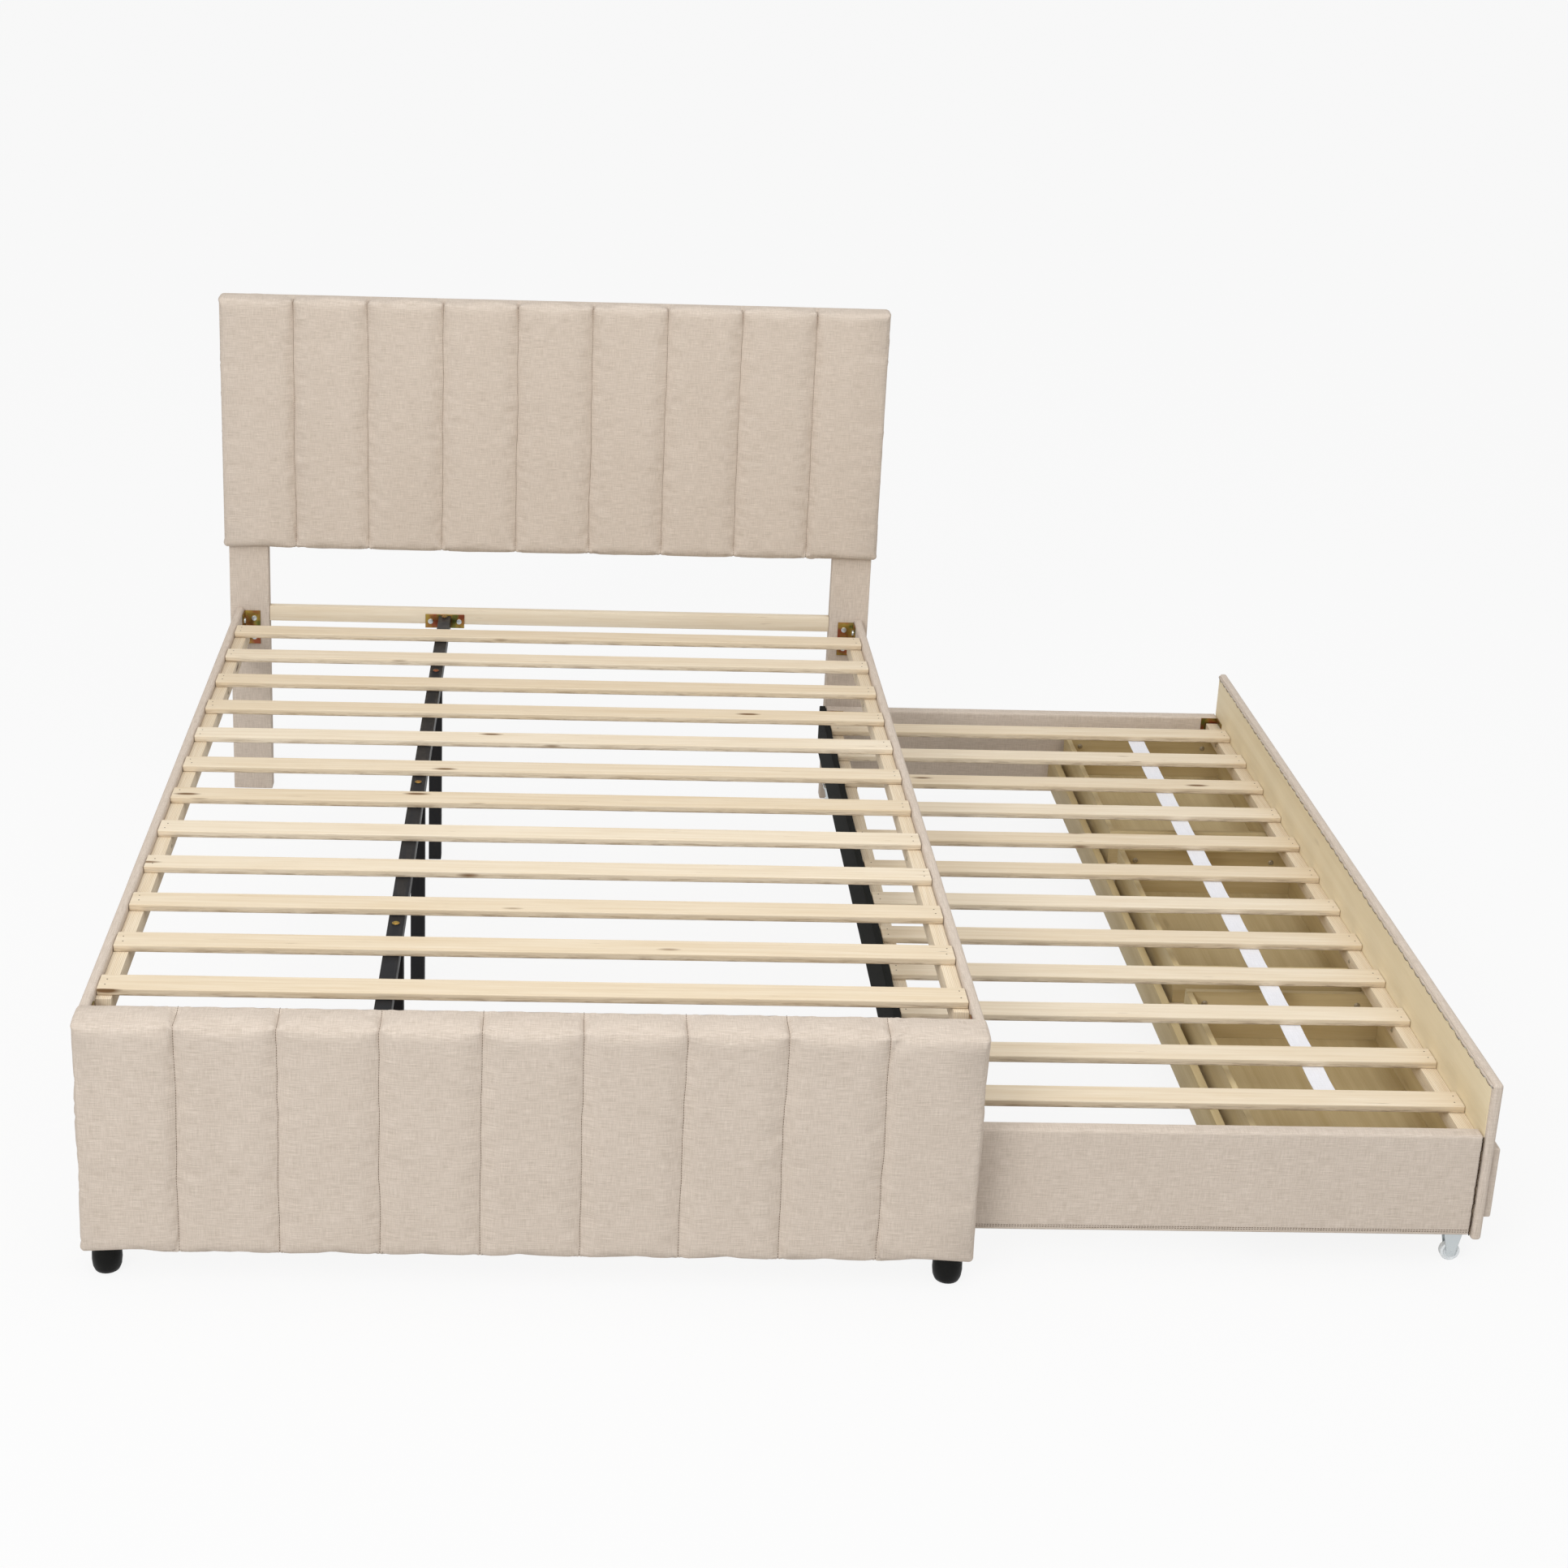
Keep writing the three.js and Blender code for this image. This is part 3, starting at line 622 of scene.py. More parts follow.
def round_edges(places, low, high, radius):
    """Draws the points of a box's surface in to edges of the given radius."""
    core_low, core_high = np.array(low) + radius, np.array(high) - radius
    core = np.clip(places, core_low, core_high)
    away = places - core
    length = np.linalg.norm(away, axis=1, keepdims=True)
    return np.where(length > TINY, core + away / np.maximum(length, TINY) * radius, places)


def ripples(places, depth, scale, salt):
    """How far a stretched cover lies below its highest surface at each place."""
    shift = Vector((salt, 0, 0))
    return np.array([depth * (0.5 + 0.5 * noise.noise(Vector(place) * scale + shift))
                     for place in places])


def rounded_board(low, high, radius, step, ripple=0.0, salt=0.0, skip=None, extra=()):
    """A board with rounded edges. extra gives more places to cut it at, for each axis, and skip
    the holes right through it along X."""
    near = 1e-6
    cuts = [steps(low[axis], high[axis], radius, step) for axis in (X, Y, Z)]
    for axis, places in enumerate(extra):
        inside = [place for place in places if low[axis] < place < high[axis]]
        cuts[axis] = np.unique(np.round(np.concatenate([cuts[axis], inside]), 6))
    mesh = lattice_box(cuts, skip)
    flat = places_of(mesh)
    outer = ((flat <= np.array(low) + near) | (flat >= np.array(high) - near)).any(1)
    places = np.where(outer[:, None], round_edges(flat, low, high, radius), flat)
    place_all(mesh, places)
    if ripple:
        inward = normals_of(mesh) * ripples(places, ripple, 9.0, salt)[:, None]
        place_all(mesh, places - np.where(outer[:, None], inward, 0))
    return mesh


def merged_copy(node):
    """A CAD node's mesh as one closed surface, without the edges that cross its flat faces."""
    model = bmesh.new()
    model.from_mesh(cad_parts[node].data)
    bmesh.ops.remove_doubles(model, verts=model.verts, dist=1e-5)
    bmesh.ops.dissolve_limit(
        model, angle_limit=math.radians(0.5), verts=model.verts, edges=model.edges)
    return model


def eased(node, radius, sharp):
    """A CAD node's mesh with the edges eased that turn by more than sharp degrees."""
    model = merged_copy(node)
    edges = [edge for edge in model.edges
             if len(edge.link_faces) == 2 and edge.calc_face_angle(0) > math.radians(sharp)]
    bmesh.ops.bevel(model, geom=edges, offset=radius, segments=2, profile=0.5,
                    affect="EDGES", clamp_overlap=True)
    bmesh.ops.triangulate(model, faces=[face for face in model.faces if len(face.verts) > 4])
    mesh = bpy.data.meshes.new(node)
    model.to_mesh(mesh)
    model.free()
    mesh.validate()
    return mesh


def longest_axis(low, high):
    spans = [high[axis] - low[axis] for axis in (X, Y, Z)]
    return spans.index(max(spans))


def eased_piece(node, body, slot, radius, material=None, tone=0.5, sharp=30):
    """A piece with the CAD node's own shape, its sharp edges eased."""
    low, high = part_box(node)
    mesh = eased(node, radius, sharp)
    unwrap(mesh, longest_axis(low, high), low[X] + low[Y])
    mark(mesh, "tone", tone)
    piece = new_object(f"{node}_finished", mesh, material or slot, smooth=False)
    shade_by_angle(mesh)
    return settle(piece, body, slot, node)


def shade_by_angle(mesh, limit=35):
    """Smooth faces, with the edges between faces that meet at more than the limit kept sharp."""
    mesh.polygons.foreach_set("use_smooth", [True] * len(mesh.polygons))
    mesh.set_sharp_from_angle(angle=math.radians(limit))


def mark_bolts(piece, end, side=None):
    """Marks a bracket's bolt heads: what stands clear of its plates, or beside the beam's seat."""
    plate = 3.4 * MM
    places = places_of(piece.data)
    low, high = places.min(0), places.max(0)
    from_board = places[:, Y] - low[Y] if end == "foot" else high[Y] - places[:, Y]
    if side:
        beside = (places[:, X] - low[X] if side == "left" else high[X] - places[:, X]) > plate
    else:
        beside = abs(places[:, X] - (low[X] + high[X]) / 2) > (high[X] - low[X]) / 4
    clear = (from_board > plate) & beside
    mark(piece.data, "bolt", clear)


# ---- Geometry trees -------------------------------------------------------------------------

def geometry_tree(name, inputs):
    tree = bpy.data.node_groups.new(name, "GeometryNodeTree")
    tree.interface.new_socket("Geometry", in_out="INPUT", socket_type="NodeSocketGeometry")
    for label, kind, default in inputs:
        socket = tree.interface.new_socket(label, in_out="INPUT", socket_type=f"NodeSocket{kind}")
        if default is not None:
            socket.default_value = default
    tree.interface.new_socket("Geometry", in_out="OUTPUT", socket_type="NodeSocketGeometry")
    return tree, add_node(tree, "NodeGroupInput"), add_node(tree, "NodeGroupOutput")


def spread_pieces(tree, given, result, points, facing):
    """Puts the given piece on every point, a little out of line, and makes it one mesh."""
    jitter = add_node(tree, "FunctionNodeRandomValue", data_type="FLOAT_VECTOR")
    tree.links.new(given.outputs["Turn Jitter"], jitter.inputs["Max"])
    opposite = add_node(tree, "ShaderNodeVectorMath", operation="SCALE")
    tree.links.new(given.outputs["Turn Jitter"], opposite.inputs[0])
    opposite.inputs["Scale"].default_value = -1
    tree.links.new(opposite.outputs[0], jitter.inputs["Min"])
    tree.links.new(given.outputs["Seed"], jitter.inputs["Seed"])
    source = add_node(tree, "GeometryNodeObjectInfo")
    tree.links.new(given.outputs["Piece"], source.inputs["Object"])
    copies = add_node(tree, "GeometryNodeInstanceOnPoints")
    tree.links.new(points, copies.inputs["Points"])
    tree.links.new(source.outputs["Geometry"], copies.inputs["Instance"])
    tree.links.new(facing, copies.inputs["Rotation"])
    turned = add_node(tree, "GeometryNodeRotateInstances")
    tree.links.new(copies.outputs[0], turned.inputs["Instances"])
    tree.links.new(jitter.outputs["Value"], turned.inputs["Rotation"])
    real = add_node(tree, "GeometryNodeRealizeInstances")
    tree.links.new(turned.outputs[0], real.inputs[0])
    coated = add_node(tree, "GeometryNodeSetMaterial")
    tree.links.new(real.outputs[0], coated.inputs["Geometry"])
    tree.links.new(given.outputs["Material"], coated.inputs["Material"])
    tree.links.new(coated.outputs[0], result.inputs[0])


SPREAD_INPUTS = [
    ("Piece", "Object", None), ("Turn Jitter", "Vector", (0.0, 0.0, 0.0)), ("Seed", "Int", 1),
    ("Material", "Material", None),
]


def make_row_tree():
    """A row of like pieces at an even pitch, such as slats."""
    tree, given, result = geometry_tree("Row of Pieces", [
        ("Count", "Int", 12), ("Start", "Vector", None), ("Pitch", "Vector", None),
        *SPREAD_INPUTS])
    line = add_node(tree, "GeometryNodeMeshLine", mode="OFFSET")
    for label, socket in (("Count", "Count"), ("Start", "Start Location"), ("Pitch", "Offset")):
        tree.links.new(given.outputs[label], line.inputs[socket])
    level = add_node(tree, "FunctionNodeEulerToRotation")
    spread_pieces(tree, given, result, line.outputs[0], level.outputs[0])
    return tree


def make_points_tree():
    """Like pieces at given points, all facing one way, such as screws and nails."""
    tree, given, result = geometry_tree("Pieces at Points", [
        ("Facing", "Vector", (0.0, 0.0, 0.0)), *SPREAD_INPUTS])
    turn = add_node(tree, "FunctionNodeEulerToRotation")
    tree.links.new(given.outputs["Facing"], turn.inputs[0])
    points = add_node(tree, "GeometryNodeMeshToPoints")
    tree.links.new(given.outputs["Geometry"], points.inputs[0])
    spread_pieces(tree, given, result, points.outputs[0], turn.outputs[0])
    return tree


def make_seam_tree():
    """Like pieces end to end along a path, such as stitches and staples."""
    tree, given, result = geometry_tree("Pieces along Seam", [
        ("Pitch", "Float", 6 * MM), *SPREAD_INPUTS])
    curve = add_node(tree, "GeometryNodeMeshToCurve")
    tree.links.new(given.outputs["Geometry"], curve.inputs[0])
    even = add_node(tree, "GeometryNodeCurveToPoints", mode="LENGTH")
    tree.links.new(curve.outputs[0], even.inputs["Curve"])
    tree.links.new(given.outputs["Pitch"], even.inputs["Length"])
    along = add_node(tree, "FunctionNodeAlignRotationToVector", axis="X")
    tree.links.new(even.outputs["Tangent"], along.inputs["Vector"])
    spread_pieces(tree, given, result, even.outputs["Points"], along.outputs[0])
    return tree


TREES = {"Row of Pieces": make_row_tree, "Pieces at Points": make_points_tree,
         "Pieces along Seam": make_seam_tree}


def repeat(name, tree_name, piece_mesh, material, points=(), edges=(), **inputs):
    """Runs a geometry tree on a holder and gives its result as a plain mesh."""
    tree = bpy.data.node_groups.get(tree_name) or TREES[tree_name]()
    base = bpy.data.meshes.new(f"{name}_base")
    base.from_pydata(list(points) or [(0, 0, 0)], list(edges), [])
    source, holder = in_scene(f"{name}_source", piece_mesh), in_scene(f"{name}_holder", base)
    modifier = holder.modifiers.new("Repeat", "NODES")
    modifier.node_group = tree
    values = {"Piece": source, "Material": finish(material),
              **{label.replace("_", " ").title(): value for label, value in inputs.items()}}
    for item in tree.interface.items_tree:
        if item.in_out == "INPUT" and item.name in values:
            modifier[item.identifier] = values[item.name]
    depsgraph = bpy.context.evaluated_depsgraph_get()
    mesh = bpy.data.meshes.new_from_object(holder.evaluated_get(depsgraph), depsgraph=depsgraph)
    holder.modifiers.clear()
    for thing in (source, holder):
        bpy.data.objects.remove(thing)
    if not len(mesh.polygons):
        raise RuntimeError(f"{name}: the tree {tree_name} made nothing")
    return mesh


# ---- Small pieces that repeat ---------------------------------------------------------------

def disc_stack(rings, sides=14):
    """A turned piece on +Z from (radius, height) rings, closed at both ends."""
    return tube_mesh([(radius * math.cos(math.tau * turn / sides),
                       radius * math.sin(math.tau * turn / sides), height)
                      for radius, height in rings for turn in range(sides)], sides)


def screw_mesh(radius):
    """A screw head in a washer, with a dished middle."""
    return disc_stack([
        (radius * 1.45, 0), (radius * 1.45, 0.5 * MM), (radius * 1.3, 0.9 * MM),
        (radius, 1.0 * MM), (radius * 0.9, 1.9 * MM), (radius * 0.55, 2.2 * MM),
        (radius * 0.35, 1.3 * MM)])


def nail_mesh(radius):
    """A nail head, let a little into the wood."""
    return disc_stack([(radius, -0.4 * MM), (radius, 0.1 * MM), (radius * 0.7, 0.3 * MM)], 8)


def capsule_mesh(length, width):
    """A stitch: a short thread along X that dips at both ends."""
    rings, sides = [(-0.5, 0.35), (-0.36, 0.85), (0, 1.0), (0.36, 0.85), (0.5, 0.35)], 6
    angles = [math.tau * turn / sides for turn in range(sides)]
    return tube_mesh([(along * length, share * width / 2 * math.cos(angle),
                       share * width / 2 * math.sin(angle))
                      for along, share in rings for angle in angles], sides)


# ---- Padded boards --------------------------------------------------------------------------

def seam_places(low, high):
    """Where the seams of a padded board stand, its two ends left out."""
    count = sewing().channels
    return [low[X] + (high[X] - low[X]) * index / count for index in range(1, count)]


def distance_from_seams(places, low, high):
    return np.min([np.abs(places[:, X] - seam) for seam in seam_places(low, high)], axis=0)


def channel_drop(places, low, high, back_room, softness):
    """How far the cover lies below the board's box: deep on the seams, shallow beside them."""
    back_fade, groove_shape, fall_shape = 12 * MM, 1.3, 5
    stitch = sewing()
    channel = (high[X] - low[X]) / stitch.channels
    from_seam = distance_from_seams(places, low, high)
    across = np.clip(1 - 2 * from_seam / channel, 0, 1)
    depth = stitch.seam_depth * (0.4 + 0.6 * softness)
    groove = depth * np.exp(-(from_seam / stitch.seam_width) ** groove_shape)
    fade = np.clip((high[Y] - back_room - places[:, Y]) / back_fade, 0, 1)
    fade *= 0.25 + 0.75 * np.clip((places[:, Z] - low[Z]) / stitch.bottom_room, 0, 1)
    return (groove + stitch.channel_fall * softness * across ** fall_shape) * fade


def wander(places, low, high, salt):
    """How far sideways each place goes with its seam, which isn't sewn quite straight."""
    reach = 45 * MM
    moves = np.zeros(len(places))
    for index, seam in enumerate(seam_places(low, high)):
        strays = np.array([noise.noise(Vector((index * 7.3 + salt, 0, height * 7)))
                           + 0.45 * noise.noise(Vector((index * 3.1 + salt, 5, height * 26)))
                           for height in places[:, Z] + 0.5 * places[:, Y]])
        near = np.exp(-((places[:, X] - seam) / reach) ** 2)
        moves += sewing().seam_wander * strays * near
    return moves


CLOTH_FRAMES = 20
CLOTH_SETTINGS = {
    "quality": 5, "mass": 0.3, "tension_stiffness": 25, "compression_stiffness": 12,
    "shear_stiffness": 8, "bending_stiffness": 0.6, "shrink_min": -0.012,
    "use_pressure": True, "uniform_pressure_force": 4,
}


def simulate_cover(piece, held):
    """Lets the cover swell between its seams under slight pressure. held marks what is fixed."""
    group = piece.vertex_groups.new(name="held")
    for vertex in np.flatnonzero(held):
        group.add([int(vertex)], 1.0, "REPLACE")
    cloth = piece.modifiers.new("Cloth", "CLOTH")
    cloth.settings.vertex_group_mass = group.name
    for name, value in CLOTH_SETTINGS.items():
        setattr(cloth.settings, name, value)
    cloth.settings.effector_weights.gravity = 0
    cloth.collision_settings.use_collision = False
    cloth.point_cache.frame_end = CLOTH_FRAMES
    scene = bpy.context.scene
    for number in range(1, CLOTH_FRAMES + 1):
        scene.frame_set(number)
    depsgraph = bpy.context.evaluated_depsgraph_get()
    settled = places_of(piece.evaluated_get(depsgraph).data)
    piece.modifiers.clear()
    piece.vertex_groups.clear()
    scene.frame_set(1)
    return settled


def padded_board(node, radius, salt, back_room, softness):
    """A board padded in upright channels, with seams that run on over its top. Gives the paths
    of its seams. back_room is how far the seams stay from its back."""
    stitch = sewing()
    low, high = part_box(node)
    cuts = [steps(low[axis], high[axis], radius, step) for axis, step in
            ((X, 40 * MM), (Y, 12 * MM), (Z, stitch.board_step))]
    beside = [place * MM for place in (0, 1.2, 2.6, 4.5, 7.5, 12, 19, 30, 46, 66)]
    near = [seam + side * distance for seam in seam_places(low, high)
            for distance in beside for side in (-1, 1)]
    ends = [place for place in cuts[X] if min(place - low[X], high[X] - place) < 2 * radius]
    middle = (high[X] - low[X]) / stitch.channels / 2
    middles = [seam - middle for seam in seam_places(low, high)] + [high[X] - middle]
    cuts[X] = np.unique(np.round([*ends, *near, *middles], 5))
    mesh = lattice_box(cuts)
    places = round_edges(places_of(mesh), low, high, radius)
    place_all(mesh, places)
    normals = normals_of(mesh)
    drop = channel_drop(places, low, high, back_room, softness)
    drop += ripples(places, 0.8 * MM, 7.0, salt)
    shaped = places - normals * drop[:, None]
    shaped[:, X] += wander(places, low, high, salt)
    place_all(mesh, shaped)
    on_seam = [np.flatnonzero(np.abs(places[:, X] - seam) < 0.1 * MM)
               for seam in seam_places(low, high)]
    piece = new_object(f"{node}_cover", mesh, "linen")
    on_backing = places[:, Y] > high[Y] - back_room
    held = (distance_from_seams(places, low, high) < 2 * MM) | on_backing
    moved = simulate_cover(piece, held) - shaped
    length = np.linalg.norm(moved, axis=1, keepdims=True)
    capped = moved * np.minimum(1, stitch.cloth_give / np.maximum(length, TINY))
    place_all(mesh, shaped + capped)
    unwrap(mesh, X, salt)
    settle(piece, "bed_frame", "linen", node)
    return [seam_path(places_of(mesh)[ring], low, high, back_room) for ring in on_seam]


def seam_path(ring, low, high, back_room):
    """The points of a seam up the cover's front and back over its top, a thread above it."""
    lift, skin, edge, start = sewing().stitch_width / 3, 15 * MM, 14 * MM, 8 * MM
    front = ring[(ring[:, Y] < low[Y] + skin) & (ring[:, Z] < high[Z] - edge)]
    top = ring[(ring[:, Z] > high[Z] - skin) & (ring[:, Y] < high[Y] - back_room)]
    front = front[np.argsort(front[:, Z])] - (0, lift, 0)
    top = top[np.argsort(top[:, Y])] + (0, 0, lift)
    return [*front[front[:, Z] > low[Z] + start], *top]


class TRUNDLE_BED_OT_padded_boards(bpy.types.Operator):
    """Makes the padded headboard and footboard and the stitches in their seams"""
    bl_idname = "trundle_bed.padded_boards"
    bl_label = "Padded Boards"

    def execute(self, context):
        stitch = sewing()
        for node, radius, salt, back_room, softness in (
                ("headboard_panel", 12 * MM, 1.3, 16 * MM, 1.0),
                ("footboard", 10 * MM, 4.7, 4 * MM, 0.35)):
            paths = padded_board(node, radius, salt, back_room, softness)
            thread_run(f"{node}_stitches", paths, "bed_frame", Z, stitch.stitch_length,
                       stitch.stitch_width, stitch.stitch_pitch, (0.0, 0.05, 0.06), seed=3)
        return {"FINISHED"}


# ---- Covered boards -------------------------------------------------------------------------

def cover_board(node, body, radius, grain, shift, salt, top=None):
    """A board in a stretched cover, as high as its node's box or only up to the given top."""
    low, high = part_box(node)
    mesh = rounded_board(low, high if top is None else Vector((high[X], high[Y], top)), radius,
                         sewing().cloth_step, sewing().ripple, salt)
    unwrap(mesh, grain, shift)
    add_piece(f"{node}_cover", mesh, body, "linen", node)


class TRUNDLE_BED_OT_covered_boards(bpy.types.Operator):
    """Makes the side rails, the headboard's posts and the trundle's covered boards"""
    bl_idname = "trundle_bed.covered_boards"
    bl_label = "Covered Boards"

    def execute(self, context):
        boards = [(f"side_rail_{side}", "bed_frame", 7.5 * MM, Y) for side in SIDES]
        boards += [(f"trundle_{end}_board", "trundle", 6 * MM, X) for end in ENDS]
        for index, (node, body, radius, grain) in enumerate(boards):
            cover_board(node, body, radius, grain, index * 0.7, index * 3.1)
        panel_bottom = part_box("headboard_panel")[0][Z]
        for index, side in enumerate(SIDES):
            cover_board(f"headboard_post_{side}", "bed_frame", 3 * MM, Z, 3 + index, 20 + index,
                        panel_bottom - TOUCH)
        low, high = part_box("trundle_inner_board")
        mesh = rounded_board(low, high, 3 * MM, 30 * MM, ripple=0.8 * MM, salt=31)
        unwrap(mesh, Y, 9)
        add_piece("trundle_inner_board_cover", mesh, "trundle", "black_cloth",
                  "trundle_inner_board")
        return {"FINISHED"}


# ---- The trundle's long front ---------------------------------------------------------------

STAPLE_PITCH = 34 * MM


def drawer_openings():
    """The cut-outs in the trundle's front, as spans along and up it."""
    play = 3 * MM
    return [(low[Y] - play, high[Y] + play, low[Z] - play, high[Z] + play)
            for low, high in (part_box(f"drawer_{number}_box") for number in DRAWERS)]


def hem_strip(x, y0, y1, top, depth, pitch, thickness):
    """The cover's edge folded over on the bare inside, scalloped between its staples. Gives the
    mesh and the path of its lower edge."""
    hang, ragged = 2.6 * MM, 2.4 * MM
    count = round((y1 - y0) / (pitch / 8))
    vertices, edge = [], []
    for step in range(count + 1):
        y = y0 + (y1 - y0) * step / count
        scallop = abs(math.sin(math.pi * (y - y0) / pitch))
        uneven = ragged * noise.noise(Vector((0, y * 31, 3)))
        bottom = top - depth - hang * scallop - uneven
        puff = thickness * (0.55 + 0.45 * scallop)
        middle = (top + bottom) / 2
        edge.append((x - 0.6 * puff, y, bottom))
        ring = [(x, y, top), (x - puff, y, top), (x - puff, y, middle),
                (x - puff * 0.6, y, bottom), (x, y, bottom)]
        vertices += ring
    return tube_mesh(vertices, len(ring)), edge


def thread_run(name, paths, body, grain, length, width, pitch, jitter, seed, material="thread"):
    """Sewn or frayed thread along each path, as one piece."""
    points, edges = [], []
    for path in paths:
        edges += [(len(points) + step, len(points) + step + 1) for step in range(len(path) - 1)]
        points += [tuple(point) for point in path]
    mesh = repeat(name, "Pieces along Seam", capsule_mesh(length, width), material, points, edges,
                  pitch=pitch, turn_jitter=jitter, seed=seed)
    unwrap(mesh, grain)
    add_piece(name, mesh, body, "linen", material=material)


class TRUNDLE_BED_OT_trundle_front(bpy.types.Operator):
    """Makes the trundle's covered front, its bare inside, its stapled hem and drawer fronts"""
    bl_idname = "trundle_bed.trundle_front"
    bl_label = "Trundle Front"

    def execute(self, context):
        low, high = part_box("trundle_fascia")
        openings = drawer_openings()

        def in_opening(y, z):
            return any(y0 < y < y1 and z0 < z < z1 for y0, y1, z0, z1 in openings)

        extra = ((), [y for o in openings for y in o[:2]], [z for o in openings for z in o[2:]])
        lining, hem_room, hem_drop = 1.2 * MM, 6 * MM, 4.5 * MM
        outer_low = Vector((low[X] + lining, low[Y], low[Z]))
        mesh = rounded_board(outer_low, high, 7 * MM, 24 * MM, sewing().ripple, 41, in_opening,
                             extra)
        unwrap(mesh, Y, 5)
        add_piece("trundle_front_cover", mesh, "trundle", "linen", "trundle_fascia")
        wrap, end_wrap, inner_depth = 5.5 * MM, 11 * MM, 3 * MM
        mesh = rounded_board(
            Vector((low[X], low[Y] + end_wrap, low[Z] + wrap)),
            Vector((low[X] + inner_depth, high[Y] - end_wrap, high[Z] - wrap)),
            0.6 * MM, 60 * MM, skip=in_opening, extra=extra)
        unwrap(mesh, Y, 2)
        mark(mesh, "tone", 0.5)
        add_piece("trundle_front_inside", mesh, "trundle", "plywood", material="lining")
        mesh, edge = hem_strip(low[X] + lining, low[Y] + hem_room, high[Y] - hem_room,
                               high[Z] - hem_drop, depth=5 * MM, pitch=STAPLE_PITCH,
                               thickness=2.4 * MM)
        unwrap(mesh, Y, 6)
        add_piece("trundle_front_hem", mesh, "trundle", "linen")
        # Frayed thread along the hem's ragged lower edge, darkened to paint the shadow that the
        # edge casts.
        thread_run("trundle_front_fray", [edge], "trundle", Y, 5 * MM, 1.3 * MM, 5.4 * MM,
                   (0.35, 0.1, 0.1), seed=12, material="dark_thread")
        for number in DRAWERS:
            cover_board(f"drawer_{number}_front", f"drawer_{number}", 4 * MM, Y, number,
                        50 + number)
        return {"FINISHED"}


# ---- Drawers --------------------------------------------------------------------------------

def joined_mesh(meshes):
    """The meshes as one."""
    model = bmesh.new()
    for mesh in meshes:
        model.from_mesh(mesh)
    whole = bpy.data.meshes.new("joined")
    model.to_mesh(whole)
    model.free()
    return whole


class TRUNDLE_BED_OT_drawers(bpy.types.Operator):
    """Makes the three drawer boxes from their boards, and the screws in their sides"""
    bl_idname = "trundle_bed.drawers"
    bl_label = "Drawers"

    def execute(self, context):
        wall, floor_top, floor_set, seam = 12 * MM, 9 * MM, 2 * MM, 0.15 * MM
        end_drop = 1 * MM  # how far the front and back stand below the sides
        from_back, from_front, from_top = 39 * MM, 60 * MM, 26 * MM  # where the screws sit
        rng = np.random.default_rng(timber().seed)
        for number in DRAWERS:
            node, body = f"drawer_{number}_box", f"drawer_{number}"
            low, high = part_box(node)
            near, far = low[Y] + wall + seam, high[Y] - wall - seam
            end_top = high[Z] - end_drop
            boards = {
                "back": ((low[X], near, low[Z]), (low[X] + wall, far, end_top), Y),
                "front": ((high[X] - wall, near, low[Z]), (high[X], far, end_top), Y),
                "near_side": ((low[X], low[Y], low[Z]), (high[X], low[Y] + wall, high[Z]), X),
                "far_side": ((low[X], high[Y] - wall, low[Z]), (high[X], high[Y], high[Z]), X),
                "floor": ((low[X] + wall + seam, near, low[Z] + floor_set),
                          (high[X] - wall - seam, far, low[Z] + floor_top), Y),
            }
            for label, (start, end, grain) in boards.items():
                mesh = rounded_board(start, end, timber().board_round, 80 * MM)
                unwrap(mesh, grain, rng.uniform(0, 9))
                mark(mesh, "tone", rng.uniform(0.2, 0.8))
                replaced = [node] if label == "floor" else []
                add_piece(f"drawer_{number}_{label}", mesh, body, "plywood", *replaced)
            name, height = f"drawer_{number}_screws", high[Z] - from_top
            mesh = joined_mesh([
                repeat(name, "Pieces at Points", screw_mesh(4.4 * MM), "screw",
                       [(low[X] + from_back, y, height), (high[X] - from_front, y, height)],
                       facing=(turn, 0.0, 0.0), seed=number)
                for y, turn in ((low[Y] + wall, -QUARTER), (high[Y] - wall, QUARTER))])
            unwrap(mesh, X)
            add_piece(name, mesh, body, "bright_zinc", material="screw")
        return {"FINISHED"}


# ---- Slats and strap ------------------------------------------------------------------------

def slat_nodes():
    return sorted(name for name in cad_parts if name.startswith(("slat_0", "slat_1")))


def slat_mesh(length, width, thickness, radius):
    """One slat, a little narrower at its ends, with rough wood marked on its lower edges and
    ends."""
    end_length = 7 * MM
    half = (length / 2, width / 2, thickness / 2)
    mesh = rounded_board([-value for value in half], half, radius, 80 * MM)
    places = places_of(mesh)
    end = np.clip((np.abs(places[:, X]) - (length / 2 - end_length)) / end_length, 0, 1)
    places[:, Y] *= 1 - 0.05 * end ** 2
    place_all(mesh, places)
    lower = np.clip(0.35 - places[:, Z] / thickness, 0, 1)
    side = np.clip((np.abs(places[:, Y]) - width / 2 + radius) / (0.7 * radius), 0, 1)
    mark(mesh, "rough", np.maximum(lower * side, end ** 8))
    return mesh


def slat_row(name, body, start, pitch, count, length, width, thickness, nodes, salt):
    """A deck of slats as one piece, each slat with a tone and a stretch of grain of its own."""
    mesh = repeat(name, "Row of Pieces", slat_mesh(length, width, thickness, timber().slat_round),
                  "pine", count=count, start=start, pitch=(0.0, pitch, 0.0),
                  turn_jitter=(0.0, 0.0, 0.0004), seed=salt)
    places = places_of(mesh)
    which = np.rint((places[:, Y] - start[1]) / pitch).astype(int).clip(0, count - 1)
    rng = np.random.default_rng(timber().seed + salt)
    tones, shifts = rng.uniform(0, 1, count), rng.uniform(0, 40, count)
    mark(mesh, "tone", tones[which])
    unwrap(mesh, X, shifts[which[corners_of(mesh)]])
    add_piece(name, mesh, body, "pine", *nodes)


